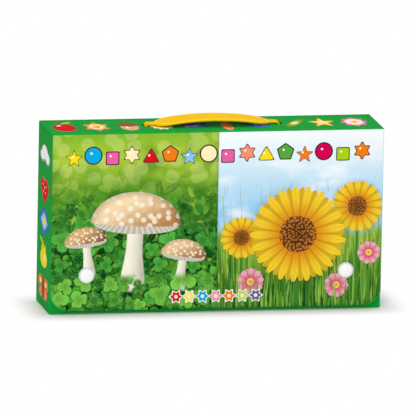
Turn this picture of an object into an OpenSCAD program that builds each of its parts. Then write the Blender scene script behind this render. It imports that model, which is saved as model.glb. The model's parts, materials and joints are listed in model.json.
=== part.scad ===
// Card carry case for a set of small board books. The back of the paper-wrapped board box runs on
// into a lid and a full front flap, closed by two press studs, with a moulded strap handle on the lid.
// Millimetres. +X is to the right, the front looks towards -Y, +Z is up, and the origin lies on the
// floor under the middle of the whole part.

/* [Case] */
// Outer width of the case
case_w = 270; // [200:1:340]
// Outer height from the floor to the top of the lid
case_h = 147; // [110:1:190]
// Outer depth from the flap's outer face to the back
case_d = 60; // [44:1:70]
// Thickness of the paper-wrapped board
board_t = 2; // [1.6:0.1:2.6]
// Radius of the wrapped edges of the box and the lid
edge_r = 1.2; // [0.4:0.1:1.5]
// Gap left in each mitred fold
fold_clear = 0.2; // [0.1:0.05:0.4]
// Gap between the lid's underside and the walls below it
lid_clear = 0.3; // [0.2:0.1:0.8]

/* [Flap] */
// Height of the flap's lower edge over the floor
flap_up = 2.8; // [1:0.2:8]
// Radius of the flap's lower corners
flap_corner_r = 13; // [6:1:24]
// How far the flap stops short of each side
flap_inset = 0.4; // [0.1:0.1:2]
// Radius of the flap's free edges
flap_edge_r = 0.6; // [0.2:0.1:0.7]

/* [Press studs] */
// Distance of each press stud from its side of the case
snap_side = 29.6; // [20:0.2:60]
// Height of the press studs over the floor
snap_up = 32; // [22:0.5:80]
// Diameter of the visible cap
cap_d = 12.8; // [10:0.2:16]
// Height of the cap's crown over the flap
cap_h = 1.8; // [1:0.1:2.4]
// Straight rim under the cap's dome
cap_rim = 0.8; // [0.2:0.1:0.9]
// Diameter of the rivet posts
post_d = 2; // [1.6:0.1:2.4]
// How far a rivet's end flares all round
flare = 0.45; // [0.2:0.05:0.5]
// Diameter of the socket behind the flap
socket_d = 10.4; // [9:0.2:12]
// Thickness of the socket's floor
socket_floor = 0.6; // [0.4:0.1:1]
// How deep the socket is sunk into the flap
socket_sink = 0.9; // [0.4:0.1:1]
// Height of the lip round the socket's mouth
lip_h = 0.35; // [0.2:0.05:0.5]
// How far the lip stands into the socket's hollow
lip_in = 0.3; // [0.1:0.05:0.5]
// Diameter of the stud's knob
knob_d = 4.4; // [4:0.1:5]
// Radius of the bead round the knob's tip
bead_r = 0.4; // [0.25:0.05:0.5]
// How far the knob reaches into the socket
knob_engage = 0.9; // [0.6:0.1:1.4]
// Gap between the knob and the socket's lip all round
knob_clear = 0.4; // [0.3:0.05:0.6]
// Gap between the knob's tip and the socket's floor
tip_clear = 0.3; // [0.2:0.05:0.6]
// Diameter of the stud's flange
stud_d = 10; // [8.6:0.2:12]
// Thickness of the stud's flange
stud_flange = 0.8; // [0.6:0.1:1.2]
// How deep the stud's flange is sunk into the front wall
stud_sink = 0.6; // [0.3:0.1:0.8]
// Diameter of the cap inside the front wall
back_cap_d = 11; // [9:0.2:13]
// Height of the cap inside the front wall
back_cap_h = 0.8; // [0.6:0.1:1.2]
// Gap between the facing rims of socket and stud
snap_gap = 0.3; // [0.3:0.05:0.6]
// Gap round the posts and the sunk rims
seat_clear = 0.1; // [0.05:0.05:0.2]

/* [Handle] */
// Distance between the two slits, middle to middle
handle_span = 108; // [90:1:140]
// Height of the strap's middle line over the lid
handle_rise = 5.8; // [4.6:0.1:14]
// Width of the strap
strap_w = 26.5; // [16:0.5:30]
// Thickness of the strap at its rim
strap_t = 2.2; // [1.8:0.1:2.8]
// How far the rim stands out on either face of the strap
rim_h = 0.3; // [0.1:0.05:0.4]
// Width of the rim
rim_w = 1.8; // [1:0.1:2.4]
// Distance from the slit at which the strap starts to narrow
shoulder = 21; // [18:0.5:26]
// Width of the neck that passes the slit
neck_w = 9; // [6:0.5:11]
// Flat length of the neck on the lid
neck_l = 5; // [3:0.5:8]
// Radius of the hollow where the strap runs out onto its neck
ease_r = 30; // [10:1:60]
// Gap between the strap's rim and the lid at either end
strap_clear = 0.3; // [0.2:0.1:0.8]
// Bend radius of the neck where it turns down
bend_r = 2; // [1.6:0.1:3]
// Travel of the strap when it is lifted
handle_lift = 5.8; // [3:0.2:8]
// Gap left above the cross bars when the strap is lifted
lift_clear = 0.2; // [0.1:0.1:0.5]
// Length of each cross bar across the slit
bar_w = 18; // [15:0.5:24]
// Width of each cross bar
bar_l = 5; // [4:0.2:8]
// Thickness of each cross bar
bar_t = 2.4; // [1.6:0.1:3]
// Corner radius of the cross bars
bar_r = 1.5; // [0.5:0.1:1.8]
// Gap between the neck and the sides of its slit
slit_clear = 0.4; // [0.3:0.05:0.6]
// How far the slit runs on past the neck
slit_end = 1.6; // [0.6:0.1:3]

/* [Books] */
// Books in each of the two stacks
stack_count = 5; // [3:1:6]
// Gap between two books
book_gap = 0.1; // [0.05:0.05:0.2]
// Gap in front of and behind a stack
stack_clear = 0.3; // [0.2:0.1:1]
// Gap at each side of a stack
book_side = 1; // [0.5:0.1:3]
// Head room between the books and the handle's cross bars
book_head = 1; // [0.5:0.1:6]
// Thickness of a book's cover board
cover_t = 1.2; // [0.8:0.1:1.4]
// Radius along the edges of a book's spine
spine_r = 0.9; // [0.4:0.1:1.1]
// Radius of the corners at a book's fore edge
leaf_corner_r = 9; // [4:0.5:16]
// How far the pages stay inside the cover
page_inset = 0.3; // [0.2:0.1:1]
// Leaves in a book
leaf_count = 6; // [4:1:8]
// Width of the gap seen between two leaves
leaf_gap = 0.15; // [0.1:0.05:0.25]
// Depth of the gap seen between two leaves
leaf_gap_depth = 0.5; // [0.3:0.1:1.5]
// Distance of the cover's crease from the spine
crease_in = 6; // [4:0.5:10]
// Radius of the crease's hollow
crease_r = 1.2; // [0.8:0.1:2]
// Depth of the crease
crease_depth = 0.35; // [0.1:0.05:0.5]

/* [Hidden] */
$fn = 64;
fine = 360;
stacks = 2;
far = 2 * (case_w + case_h + case_d);
eps = 1;

green = [0.08, 0.57, 0.21];
leaf_green = [0.42, 0.68, 0.22];
amber = [0.97, 0.74, 0.05];
white = [0.95, 0.95, 0.94];
paper = [0.93, 0.92, 0.88];
cover_colours = [
    [0.80, 0.16, 0.18], [0.94, 0.52, 0.14], [0.83, 0.66, 0.42], [0.96, 0.80, 0.16], [0.45, 0.36, 0.68],
    [0.86, 0.52, 0.50], [0.16, 0.42, 0.74], [0.52, 0.60, 0.20], [0.95, 0.72, 0.10], [0.92, 0.62, 0.70]
];

// Press stud, from the flap back to the inside of the front wall
socket_h = socket_floor + tip_clear + knob_engage;
mouth_d = knob_d + 2 * knob_clear;
knob_h = snap_gap + knob_engage;
stud_h = stud_flange + knob_h;
flap_gap = socket_h - socket_sink + stud_flange - stud_sink + snap_gap;
snap_x = case_w / 2 - snap_side;

// Planes across the depth, from the flap's face to the back
y_back = (case_d + cap_h) / 2;
y_front = y_back - case_d;
y_flap = y_front + board_t;
y_wall = y_flap + flap_gap;
y_inside = y_wall + board_t;
y_mid = (y_front + y_back) / 2;

// Levels
z_lid = case_h - board_t;
z_wall = z_lid - lid_clear;
z_bar_top = z_lid - handle_lift - lift_clear;
z_bar = z_bar_top - bar_t;

// Handle curve: one long arc, a hollow at either end, then a flat neck and its bend into the slit
neck_t = strap_t - 2 * rim_h;
neck_up = strap_clear + strap_t / 2;
neck_z = case_h + neck_up;
bend_x = handle_span / 2 - bend_r;
bend_z = neck_z - bend_r;
ease_x = bend_x - neck_l;
ease_z = neck_z + ease_r;
arc_a = 2 * atan((handle_rise - neck_up) / ease_x);
arc_r = ease_x / sin(arc_a) - ease_r;
arc_z = case_h + handle_rise - arc_r;
shoulder_x = handle_span / 2 - shoulder;
slit_in = bend_x + sqrt(pow(bend_r - neck_t / 2, 2) - pow(bend_r - neck_up, 2)) - slit_clear;
slit_out = handle_span / 2 + neck_t / 2 + slit_end;

// Books
book_w = (case_w - 2 * board_t - (stacks + 1) * book_side) / stacks;
book_h = z_bar - book_head - board_t;
y_stack = y_inside + back_cap_h + stack_clear;
stack_d = y_back - board_t - stack_clear - y_stack;
book_t = (stack_d - (stack_count - 1) * book_gap) / stack_count;
leaf_t = (book_t - 2 * cover_t) / leaf_count;
book_count = stacks * stack_count;

sides = [["left", -1], ["right", 1]];
function snap_name(part, side) = str("snap_", part, "_", side[0]);
function book_name(k, part) = str("book_", k + 1, "_", part);

// A side profile drawn as [y, z], run along X about the middle
module along_x(length) {
    rotate([90, 0, 90])
        linear_extrude(length, center = true)
            children();
}

// A front outline drawn as [x, z], run along Y from y0 to y1
module along_y(y0, y1) {
    translate([0, y1, 0])
        rotate([90, 0, 0])
            linear_extrude(y1 - y0)
                children();
}

// A plan drawn as [x, y], run along Z from z0 to z1
module along_z(z0, z1) {
    translate([0, 0, z0])
        linear_extrude(z1 - z0)
            children();
}

module rounded_rect(size, r) {
    translate([r, 0]) square([size.x - 2 * r, size.y]);
    translate([0, r]) square([size.x, size.y - 2 * r]);
    for (x = [r, size.x - r], y = [r, size.y - r])
        translate([x, y]) circle(r);
}

// Places a fold drawn about its inner corner, with the outside towards +x and up
module at_back_fold() {
    translate([y_back - board_t, z_lid]) children();
}

module at_front_fold() {
    translate([y_flap, z_lid]) mirror([1, 0]) children();
}

// The board's quarter round at a fold
module fold_round() {
    intersection() {
        circle(board_t);
        square(board_t);
    }
}

// What lies above or below the fold's mitre plane, less half the gap
module above_mitre() {
    rotate(45) translate([-far / 2, fold_clear / 2]) square(far);
}

module below_mitre() {
    rotate(45) translate([-far / 2, -far - fold_clear / 2]) square(far);
}

// Side profiles
module box_profile() {
    intersection() {
        translate([y_wall, 0]) rounded_rect([y_back - y_wall, case_h], edge_r);
        translate([y_wall, 0]) square([y_back - y_wall, z_wall]);
    }
    intersection() {
        union() {
            translate([y_back - board_t, board_t]) square([board_t, z_lid - board_t]);
            at_back_fold() fold_round();
        }
        at_back_fold() below_mitre();
    }
}

module lid_profile() {
    intersection() {
        union() {
            translate([y_flap, z_lid]) square([case_d - 2 * board_t, board_t]);
            at_back_fold() fold_round();
            at_front_fold() fold_round();
        }
        at_back_fold() above_mitre();
        at_front_fold() above_mitre();
    }
}

module flap_profile() {
    intersection() {
        union() {
            intersection() {
                translate([y_front, flap_up]) rounded_rect([board_t, case_h], flap_edge_r);
                translate([y_front, flap_up]) square([board_t, z_lid - flap_up]);
            }
            at_front_fold() fold_round();
        }
        at_front_fold() below_mitre();
    }
}

// The case's outer block with rounded edges, from the plane y0 to the back
module envelope(y0) {
    intersection() {
        along_y(y0, y_back)
            translate([-case_w / 2, 0]) rounded_rect([case_w, case_h], edge_r);
        along_z(0, case_h)
            translate([-case_w / 2, y0]) rounded_rect([case_w, y_back - y0], edge_r);
    }
}

// Turns children so that their +z looks out of the front, or into the case
module snap_outward(side, y) {
    translate([side[1] * snap_x, y, snap_up]) rotate([90, 0, 0]) children();
}

module snap_inward(side, y) {
    translate([side[1] * snap_x, y, snap_up]) rotate([-90, 0, 0]) children();
}

// Seat of a sunk rim with the post's hole through the board behind it
module snap_seat(d, depth) {
    cylinder(d = d + 2 * seat_clear, h = depth + eps);
    translate([0, 0, -board_t - eps]) cylinder(d = post_d + 2 * seat_clear, h = board_t + 2 * eps);
}

module case_body() {
    color(green)
        difference() {
            intersection() {
                along_x(case_w) box_profile();
                envelope(y_wall);
            }
            translate([-case_w / 2 + board_t, y_inside, board_t])
                cube([case_w - 2 * board_t, y_back - board_t - y_inside, case_h]);
            for (side = sides)
                snap_outward(side, y_wall + stud_sink) snap_seat(stud_d, stud_sink);
        }
}

module slit_plan() {
    for (side = [0, 1])
        mirror([side, 0])
            translate([slit_in, y_mid - neck_w / 2 - slit_clear])
                square([slit_out - slit_in, neck_w + 2 * slit_clear]);
}

module lid_panel() {
    color(green)
        difference() {
            intersection() {
                along_x(case_w) lid_profile();
                envelope(y_front);
            }
            along_z(z_lid - eps, case_h + eps) slit_plan();
        }
}

module front_flap() {
    flap_w = case_w - 2 * flap_inset;
    color(leaf_green)
        difference() {
            intersection() {
                along_x(case_w) flap_profile();
                along_y(y_front - eps, y_flap + eps)
                    translate([-flap_w / 2, flap_up]) rounded_rect([flap_w, 2 * case_h], flap_corner_r);
                along_z(0, case_h)
                    translate([-flap_w / 2, y_front]) rounded_rect([flap_w, board_t], flap_edge_r);
            }
            for (side = sides)
                snap_inward(side, y_flap - socket_sink) snap_seat(socket_d, socket_sink);
        }
}

// Low dome with a straight rim, standing on z = 0
module domed_disc(d, h, rim) {
    rise = h - rim;
    dome_r = (d * d / 4 + rise * rise) / (2 * rise);
    rotate_extrude()
        intersection() {
            square([d / 2, h]);
            translate([0, h - dome_r]) circle(dome_r, $fn = 2 * fine);
        }
}

// Rivet post that starts at z = 0 and flares over the last stretch of its length
module rivet_post(length, flare_h) {
    cylinder(d = post_d, h = length);
    translate([0, 0, length - flare_h])
        cylinder(d1 = post_d, d2 = post_d + 2 * flare, h = flare_h);
}

// Hole that such a post passes, seated all round
module rivet_hole(length, flare_h) {
    translate([0, 0, -eps]) cylinder(d = post_d + 2 * seat_clear, h = length + 2 * eps);
    translate([0, 0, length - flare_h])
        cylinder(d1 = post_d + 2 * seat_clear, d2 = post_d + 2 * (flare + seat_clear), h = flare_h);
}

module snap_cap(side) {
    color(white) {
        snap_outward(side, y_front) domed_disc(cap_d, cap_h, cap_rim);
        snap_inward(side, y_front) rivet_post(board_t - socket_sink + socket_floor, socket_floor);
    }
}

module snap_socket(side) {
    color(white)
        snap_inward(side, y_flap - socket_sink)
            difference() {
                cylinder(d = socket_d, h = socket_h);
                rivet_hole(socket_floor, socket_floor);
                translate([0, 0, socket_floor])
                    cylinder(d = mouth_d + 2 * lip_in, h = socket_h - socket_floor - lip_h);
                translate([0, 0, socket_floor]) cylinder(d = mouth_d, h = socket_h);
            }
}

module snap_stud(side) {
    color(white)
        snap_outward(side, y_wall + stud_sink)
            difference() {
                rotate_extrude() {
                    square([stud_d / 2, stud_flange]);
                    square([knob_d / 2 - bead_r, stud_h]);
                    translate([knob_d / 2 - bead_r, stud_h - bead_r]) circle(bead_r);
                }
                rivet_hole(stud_h, knob_engage);
            }
}

module snap_back_cap(side) {
    color(white) {
        snap_inward(side, y_inside) domed_disc(back_cap_d, back_cap_h, back_cap_h / 2);
        snap_outward(side, y_inside) rivet_post(board_t - stud_sink + stud_h, knob_engage);
    }
}

// Front view of all that lies under the strap's middle line, grown by a length
module under_strap(grow) {
    side_x = (arc_r + grow) * sin(arc_a);
    side_z = arc_z + (arc_r + grow) * cos(arc_a);
    intersection() {
        translate([0, arc_z]) circle(arc_r + grow, $fn = 4 * fine);
        translate([-side_x, 0]) square([2 * side_x, far]);
    }
    difference() {
        translate([-ease_x, 0]) square([2 * ease_x, side_z]);
        for (x = [-ease_x, ease_x])
            translate([x, ease_z]) circle(ease_r - grow, $fn = fine);
    }
    translate([-bend_x, 0]) square([2 * bend_x, neck_z + grow]);
    for (x = [-bend_x, bend_x])
        translate([x, bend_z]) circle(bend_r + grow);
    translate([-handle_span / 2 - grow, 0]) square([handle_span + 2 * grow, bend_z]);
}

// Front view of the strap: the long arc, the hollows, the flat necks and their bends
module strap_band(t) {
    intersection() {
        difference() {
            under_strap(t / 2);
            under_strap(-t / 2);
        }
        translate([-far, z_bar_top]) square([2 * far, far]);
    }
}

// Plan of the strap's broad part with its round ends, drawn in by an inset
module grip_plan(inset) {
    translate([0, y_mid]) {
        square([2 * shoulder_x, strap_w - 2 * inset], center = true);
        for (x = [-shoulder_x, shoulder_x])
            translate([x, 0]) circle(strap_w / 2 - inset);
    }
}

// Plan of the necks, each with a taper that leaves the round end at 45 degrees
module neck_plan() {
    reach = strap_w / 2 * cos(45);
    half = neck_w / 2;
    tip = shoulder_x + 2 * reach - half;
    translate([0, y_mid]) {
        square([handle_span + 2 * strap_t, neck_w], center = true);
        for (side = [0, 1])
            mirror([side, 0])
                polygon([[shoulder_x + reach, reach], [tip, half], [tip, -half], [shoulder_x + reach, -reach]]);
    }
}

module handle() {
    z_top = case_h + handle_rise + strap_t;
    color(amber) {
        intersection() {
            along_y(y_mid - strap_w / 2, y_mid + strap_w / 2) strap_band(neck_t);
            along_z(z_bar, z_top) {
                grip_plan(0);
                neck_plan();
            }
        }
        intersection() {
            along_y(y_mid - strap_w / 2, y_mid + strap_w / 2) strap_band(strap_t);
            along_z(z_bar, z_top)
                difference() {
                    grip_plan(0);
                    grip_plan(rim_w);
                }
        }
        for (side = [-1, 1])
            along_z(z_bar, z_bar_top)
                translate([side * handle_span / 2 - bar_l / 2, y_mid - bar_w / 2])
                    rounded_rect([bar_l, bar_w], bar_r);
    }
}

// Places a book with its spine at x = 0 and its front cover at y = 0
module place_book(k) {
    stack = floor(k / stack_count);
    row = k % stack_count;
    x = -case_w / 2 + board_t + book_side + stack * (book_w + book_side);
    translate([x, y_stack + row * (book_t + book_gap), board_t]) children();
}

// Outline of a leaf as [x, z], square at the spine and round at the fore edge
module leaf_outline(w, h, r) {
    square([w - r, h]);
    translate([0, r]) square([w, h - 2 * r]);
    for (z = [r, h - r])
        translate([w - r, z]) circle(r);
}

module book_cover(k) {
    color(cover_colours[k % len(cover_colours)])
        place_book(k)
            difference() {
                intersection() {
                    along_y(0, book_t) leaf_outline(book_w, book_h, leaf_corner_r);
                    along_z(0, book_h) rounded_rect([book_w + 2 * spine_r, book_t], spine_r);
                }
                translate([cover_t, cover_t, -eps])
                    cube([book_w, book_t - 2 * cover_t, book_h + 2 * eps]);
                for (y = [crease_depth - crease_r, book_t - crease_depth + crease_r])
                    translate([crease_in, y, -eps]) cylinder(r = crease_r, h = book_h + 2 * eps);
            }
}

module book_pages(k) {
    w = book_w - cover_t - page_inset;
    h = book_h - 2 * page_inset;
    r = leaf_corner_r - page_inset;
    deep = leaf_gap_depth;
    color(paper)
        place_book(k)
            translate([cover_t, cover_t, page_inset])
                difference() {
                    along_y(0, book_t - 2 * cover_t) leaf_outline(w, h, r);
                    for (i = [1:leaf_count - 1])
                        along_y(i * leaf_t - leaf_gap / 2, i * leaf_t + leaf_gap / 2)
                            difference() {
                                translate([-eps, -eps]) square([w + 2 * eps, h + 2 * eps]);
                                translate([0, deep]) leaf_outline(w - deep, h - 2 * deep, r - deep);
                                translate([-2 * eps, deep]) square([3 * eps, h - 2 * deep]);
                            }
                }
}

case_body();
lid_panel();
front_flap();
handle();
for (side = sides) {
    snap_cap(side);
    snap_socket(side);
    snap_stud(side);
    snap_back_cap(side);
}
for (k = [0:book_count - 1]) {
    book_cover(k);
    book_pages(k);
}
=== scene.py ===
"""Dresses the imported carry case: printed card, strap handle, press studs, board books and a plain studio."""

import json
import logging
import math
from dataclasses import dataclass
from enum import Enum
from typing import Dict, List, Optional, Sequence, Tuple, Union

import bmesh
import bpy
import numpy as np
from mathutils import Matrix, Vector


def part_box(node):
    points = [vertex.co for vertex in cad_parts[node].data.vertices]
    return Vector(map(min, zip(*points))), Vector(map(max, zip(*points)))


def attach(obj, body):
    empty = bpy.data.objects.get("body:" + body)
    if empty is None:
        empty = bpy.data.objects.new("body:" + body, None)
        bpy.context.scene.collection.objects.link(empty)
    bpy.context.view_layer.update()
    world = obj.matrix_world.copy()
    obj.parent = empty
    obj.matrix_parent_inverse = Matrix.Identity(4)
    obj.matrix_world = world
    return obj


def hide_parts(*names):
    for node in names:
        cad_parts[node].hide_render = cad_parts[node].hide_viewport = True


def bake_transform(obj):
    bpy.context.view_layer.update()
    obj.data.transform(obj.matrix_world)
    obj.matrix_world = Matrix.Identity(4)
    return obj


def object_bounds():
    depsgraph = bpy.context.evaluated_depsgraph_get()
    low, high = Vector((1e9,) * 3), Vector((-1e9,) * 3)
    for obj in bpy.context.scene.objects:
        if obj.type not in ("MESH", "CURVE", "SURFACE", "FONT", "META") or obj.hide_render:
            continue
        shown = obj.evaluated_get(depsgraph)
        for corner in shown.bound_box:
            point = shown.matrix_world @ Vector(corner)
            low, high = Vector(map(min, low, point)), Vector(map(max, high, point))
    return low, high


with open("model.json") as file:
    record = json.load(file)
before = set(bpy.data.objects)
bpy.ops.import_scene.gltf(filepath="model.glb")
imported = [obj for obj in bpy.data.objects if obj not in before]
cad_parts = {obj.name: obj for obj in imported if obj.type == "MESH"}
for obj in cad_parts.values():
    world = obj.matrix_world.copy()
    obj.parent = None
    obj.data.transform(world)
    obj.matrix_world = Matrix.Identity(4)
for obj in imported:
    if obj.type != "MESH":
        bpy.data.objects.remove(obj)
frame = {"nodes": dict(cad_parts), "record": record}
CAD_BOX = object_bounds()

LOG = logging.getLogger("carry_case")
MM = 0.001
PX_ACROSS = 416
FULL_TURN = 2.0 * math.pi
QUARTER_TURN = math.pi / 2.0
MERGE_DISTANCE = 1e-7
GRAIN_DEPTH = 0.0002
FILM_ROUGHNESS = 0.55
SHEEN = 0.006
Colour = Tuple[float, float, float, float]
Triple = Tuple[float, float, float]
Socket = bpy.types.NodeSocket
Value = Union[float, Triple, Colour, Socket]


def ink(red: int, green: int, blue: int) -> Colour:
    """Turns a printed colour of 0 to 255 a channel into the linear colour that the shader reads.

    Args:
        red: Red as seen, 0 to 255.
        green: Green as seen.
        blue: Blue as seen.

    Returns:
        The linear colour with a full alpha.
    """
    seen = np.array([red, green, blue]) / 255.0
    linear = np.where(seen <= 0.04045, seen / 12.92, ((seen + 0.055) / 1.055) ** 2.4)
    return (float(linear[0]), float(linear[1]), float(linear[2]), 1.0)


class Ink(Enum):
    """The named colours of the print, the plastic and the card."""

    GREEN = ink(22, 156, 58)
    GREEN_PALE = ink(52, 176, 84)
    WHITE = ink(250, 250, 248)
    LINING = ink(240, 240, 236)
    LINE = ink(62, 34, 36)
    AMBER = ink(251, 196, 2)
    # Painted highlight: the lighter amber that the strap's beads wear on their upper sides.
    AMBER_HIGHLIGHT = ink(255, 218, 34)
    CREAM = ink(253, 240, 190)
    TAN = ink(226, 180, 124)
    BROWN = ink(142, 92, 52)
    YELLOW = ink(252, 226, 24)
    ORANGE = ink(243, 128, 26)
    RED = ink(220, 18, 34)
    CRIMSON = ink(214, 4, 84)
    PINK = ink(236, 96, 166)
    SALMON = ink(250, 146, 116)
    CYAN = ink(6, 172, 228)
    SKY = ink(140, 200, 246)
    BLUE = ink(34, 96, 184)
    VIOLET = ink(112, 92, 176)
    LIME = ink(172, 212, 24)
    LEAF = ink(84, 170, 60)
    OLIVE = ink(132, 150, 52)
    GREY = ink(150, 156, 160)


class Kind(Enum):
    """Kinds of socket on a shader group."""

    NUMBER = "NodeSocketFloat"
    VECTOR = "NodeSocketVector"
    COLOUR = "NodeSocketColor"


class Graph:
    """Writes nodes into one shader tree; every input may be a socket or a plain value."""

    def __init__(self, tree: bpy.types.NodeTree) -> None:
        """Keeps the tree that the nodes go into."""
        self.tree = tree

    def feed(self, socket: Socket, value: Value) -> None:
        """Links a socket to the input, or sets the input's own value, a colour without alpha on a vector.

        Args:
            socket: The input.
            value: The socket that feeds it, or its plain value.
        """
        if isinstance(value, bpy.types.NodeSocket):
            self.tree.links.new(value, socket)
        elif socket.type == "VECTOR":
            socket.default_value = value[:3]
        else:
            socket.default_value = value

    def add(self, kind: str, inputs: Optional[Dict[Union[str, int], Value]] = None,
            **settings: object) -> bpy.types.Node:
        """Adds one node.

        Args:
            kind: Blender's name of the node type.
            inputs: Values or sockets by the input's name or index.
            settings: Properties of the node itself.

        Returns:
            The new node.
        """
        node = self.tree.nodes.new(kind)
        for name, setting in settings.items():
            setattr(node, name, setting)
        for key, value in (inputs or {}).items():
            self.feed(node.inputs[key], value)
        return node

    def math(self, action: str, *values: Value) -> Socket:
        """Adds a math node on up to three numbers and gives its result."""
        return self.add("ShaderNodeMath", dict(enumerate(values)), operation=action).outputs[0]

    def times(self, value: Value, factor: Value) -> Socket:
        """Multiplies two numbers."""
        return self.math("MULTIPLY", value, factor)

    def affine(self, value: Value, factor: Value, start: Value) -> Socket:
        """Gives value x factor + start."""
        return self.math("MULTIPLY_ADD", value, factor, start)

    def vector(self, action: str, *values: Value) -> Socket:
        """Adds a vector math node and gives its vector."""
        return self.add("ShaderNodeVectorMath", dict(enumerate(values)), operation=action).outputs[0]

    def scaled(self, vector: Value, factor: Value) -> Socket:
        """Multiplies a vector or a colour by one number."""
        node = self.add("ShaderNodeVectorMath", {0: vector, "Scale": factor}, operation="SCALE")
        return node.outputs[0]

    def length(self, vector: Value) -> Socket:
        """Gives the length of a vector."""
        return self.add("ShaderNodeVectorMath", {0: vector}, operation="LENGTH").outputs["Value"]

    def turned(self, vector: Value, angle: Value) -> Socket:
        """Turns a vector about the third axis."""
        inputs = {"Vector": vector, "Angle": angle}
        return self.add("ShaderNodeVectorRotate", inputs, rotation_type="Z_AXIS").outputs[0]

    def split(self, vector: Value) -> Tuple[Socket, Socket, Socket]:
        """Takes a vector apart into its three numbers."""
        node = self.add("ShaderNodeSeparateXYZ", {0: vector})
        return node.outputs[0], node.outputs[1], node.outputs[2]

    def join(self, x: Value, y: Value, z: Value = 0.0) -> Socket:
        """Puts three numbers together into a vector."""
        return self.add("ShaderNodeCombineXYZ", {0: x, 1: y, 2: z}).outputs[0]

    def smooth(self, value: Value, low: Value, high: Value) -> Socket:
        """Rises smoothly from 0 at low to 1 at high, or falls where high is the lesser."""
        inputs = {"Value": value, "From Min": low, "From Max": high}
        return self.add("ShaderNodeMapRange", inputs, interpolation_type="SMOOTHSTEP").outputs[0]

    def mix(self, share: Value, under: Value, over: Value) -> Socket:
        """Lays one colour over another by a share of 0 to 1."""
        node = self.add("ShaderNodeMix", {0: share, 6: under, 7: over}, data_type="RGBA")
        return node.outputs[2]

    def noise(self, vector: Value, scale: float, detail: float = 2.0) -> Socket:
        """Gives smooth noise of about 0 to 1, in scale waves a unit."""
        inputs = {"Vector": vector, "Scale": scale, "Detail": detail}
        return self.add("ShaderNodeTexNoise", inputs, noise_dimensions="3D").outputs[0]

    def cells(self, vector: Value, scale: Value, randomness: float = 1.0) -> bpy.types.NodeOutputs:
        """Scatters flat cells, in scale cells a unit, and gives a point's distance, colour and middle."""
        inputs = {"Vector": vector, "Scale": scale, "Randomness": randomness}
        return self.add("ShaderNodeTexVoronoi", inputs, voronoi_dimensions="2D", feature="F1").outputs

    def ramp(self, value: Value, stops: Sequence[Tuple[float, Colour]]) -> Socket:
        """Gives a colour from a row of stops.

        Args:
            value: The place on the ramp, 0 to 1.
            stops: Each stop's place and colour.

        Returns:
            The colour.
        """
        node = self.add("ShaderNodeValToRGB", {0: value})
        elements = node.color_ramp.elements
        while len(elements) < len(stops):
            elements.new(1.0)
        for element, (place, colour) in zip(elements, stops):
            element.position = place
            element.color = colour
        return node.outputs[0]

    def group(self, tree: bpy.types.NodeTree, inputs: Dict[str, Value]) -> bpy.types.NodeOutputs:
        """Places a shader group with its inputs and gives its outputs."""
        return self.add("ShaderNodeGroup", inputs, node_tree=tree).outputs


def open_group(name: str, inputs: Dict[str, Kind], outputs: Dict[str, Kind]
               ) -> Tuple[Graph, bpy.types.NodeOutputs, bpy.types.NodeInputs]:
    """Starts a shader group with named sockets.

    Args:
        name: The group's name.
        inputs: Input names with their kinds.
        outputs: Output names with their kinds.

    Returns:
        The graph to write in, the sockets that bring the inputs, and those that take the outputs.
    """
    tree = bpy.data.node_groups.new(name, "ShaderNodeTree")
    for label, kind in inputs.items():
        tree.interface.new_socket(name=label, in_out="INPUT", socket_type=kind.value)
    for label, kind in outputs.items():
        tree.interface.new_socket(name=label, in_out="OUTPUT", socket_type=kind.value)
    graph = Graph(tree)
    return graph, graph.add("NodeGroupInput").outputs, graph.add("NodeGroupOutput").inputs


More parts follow.
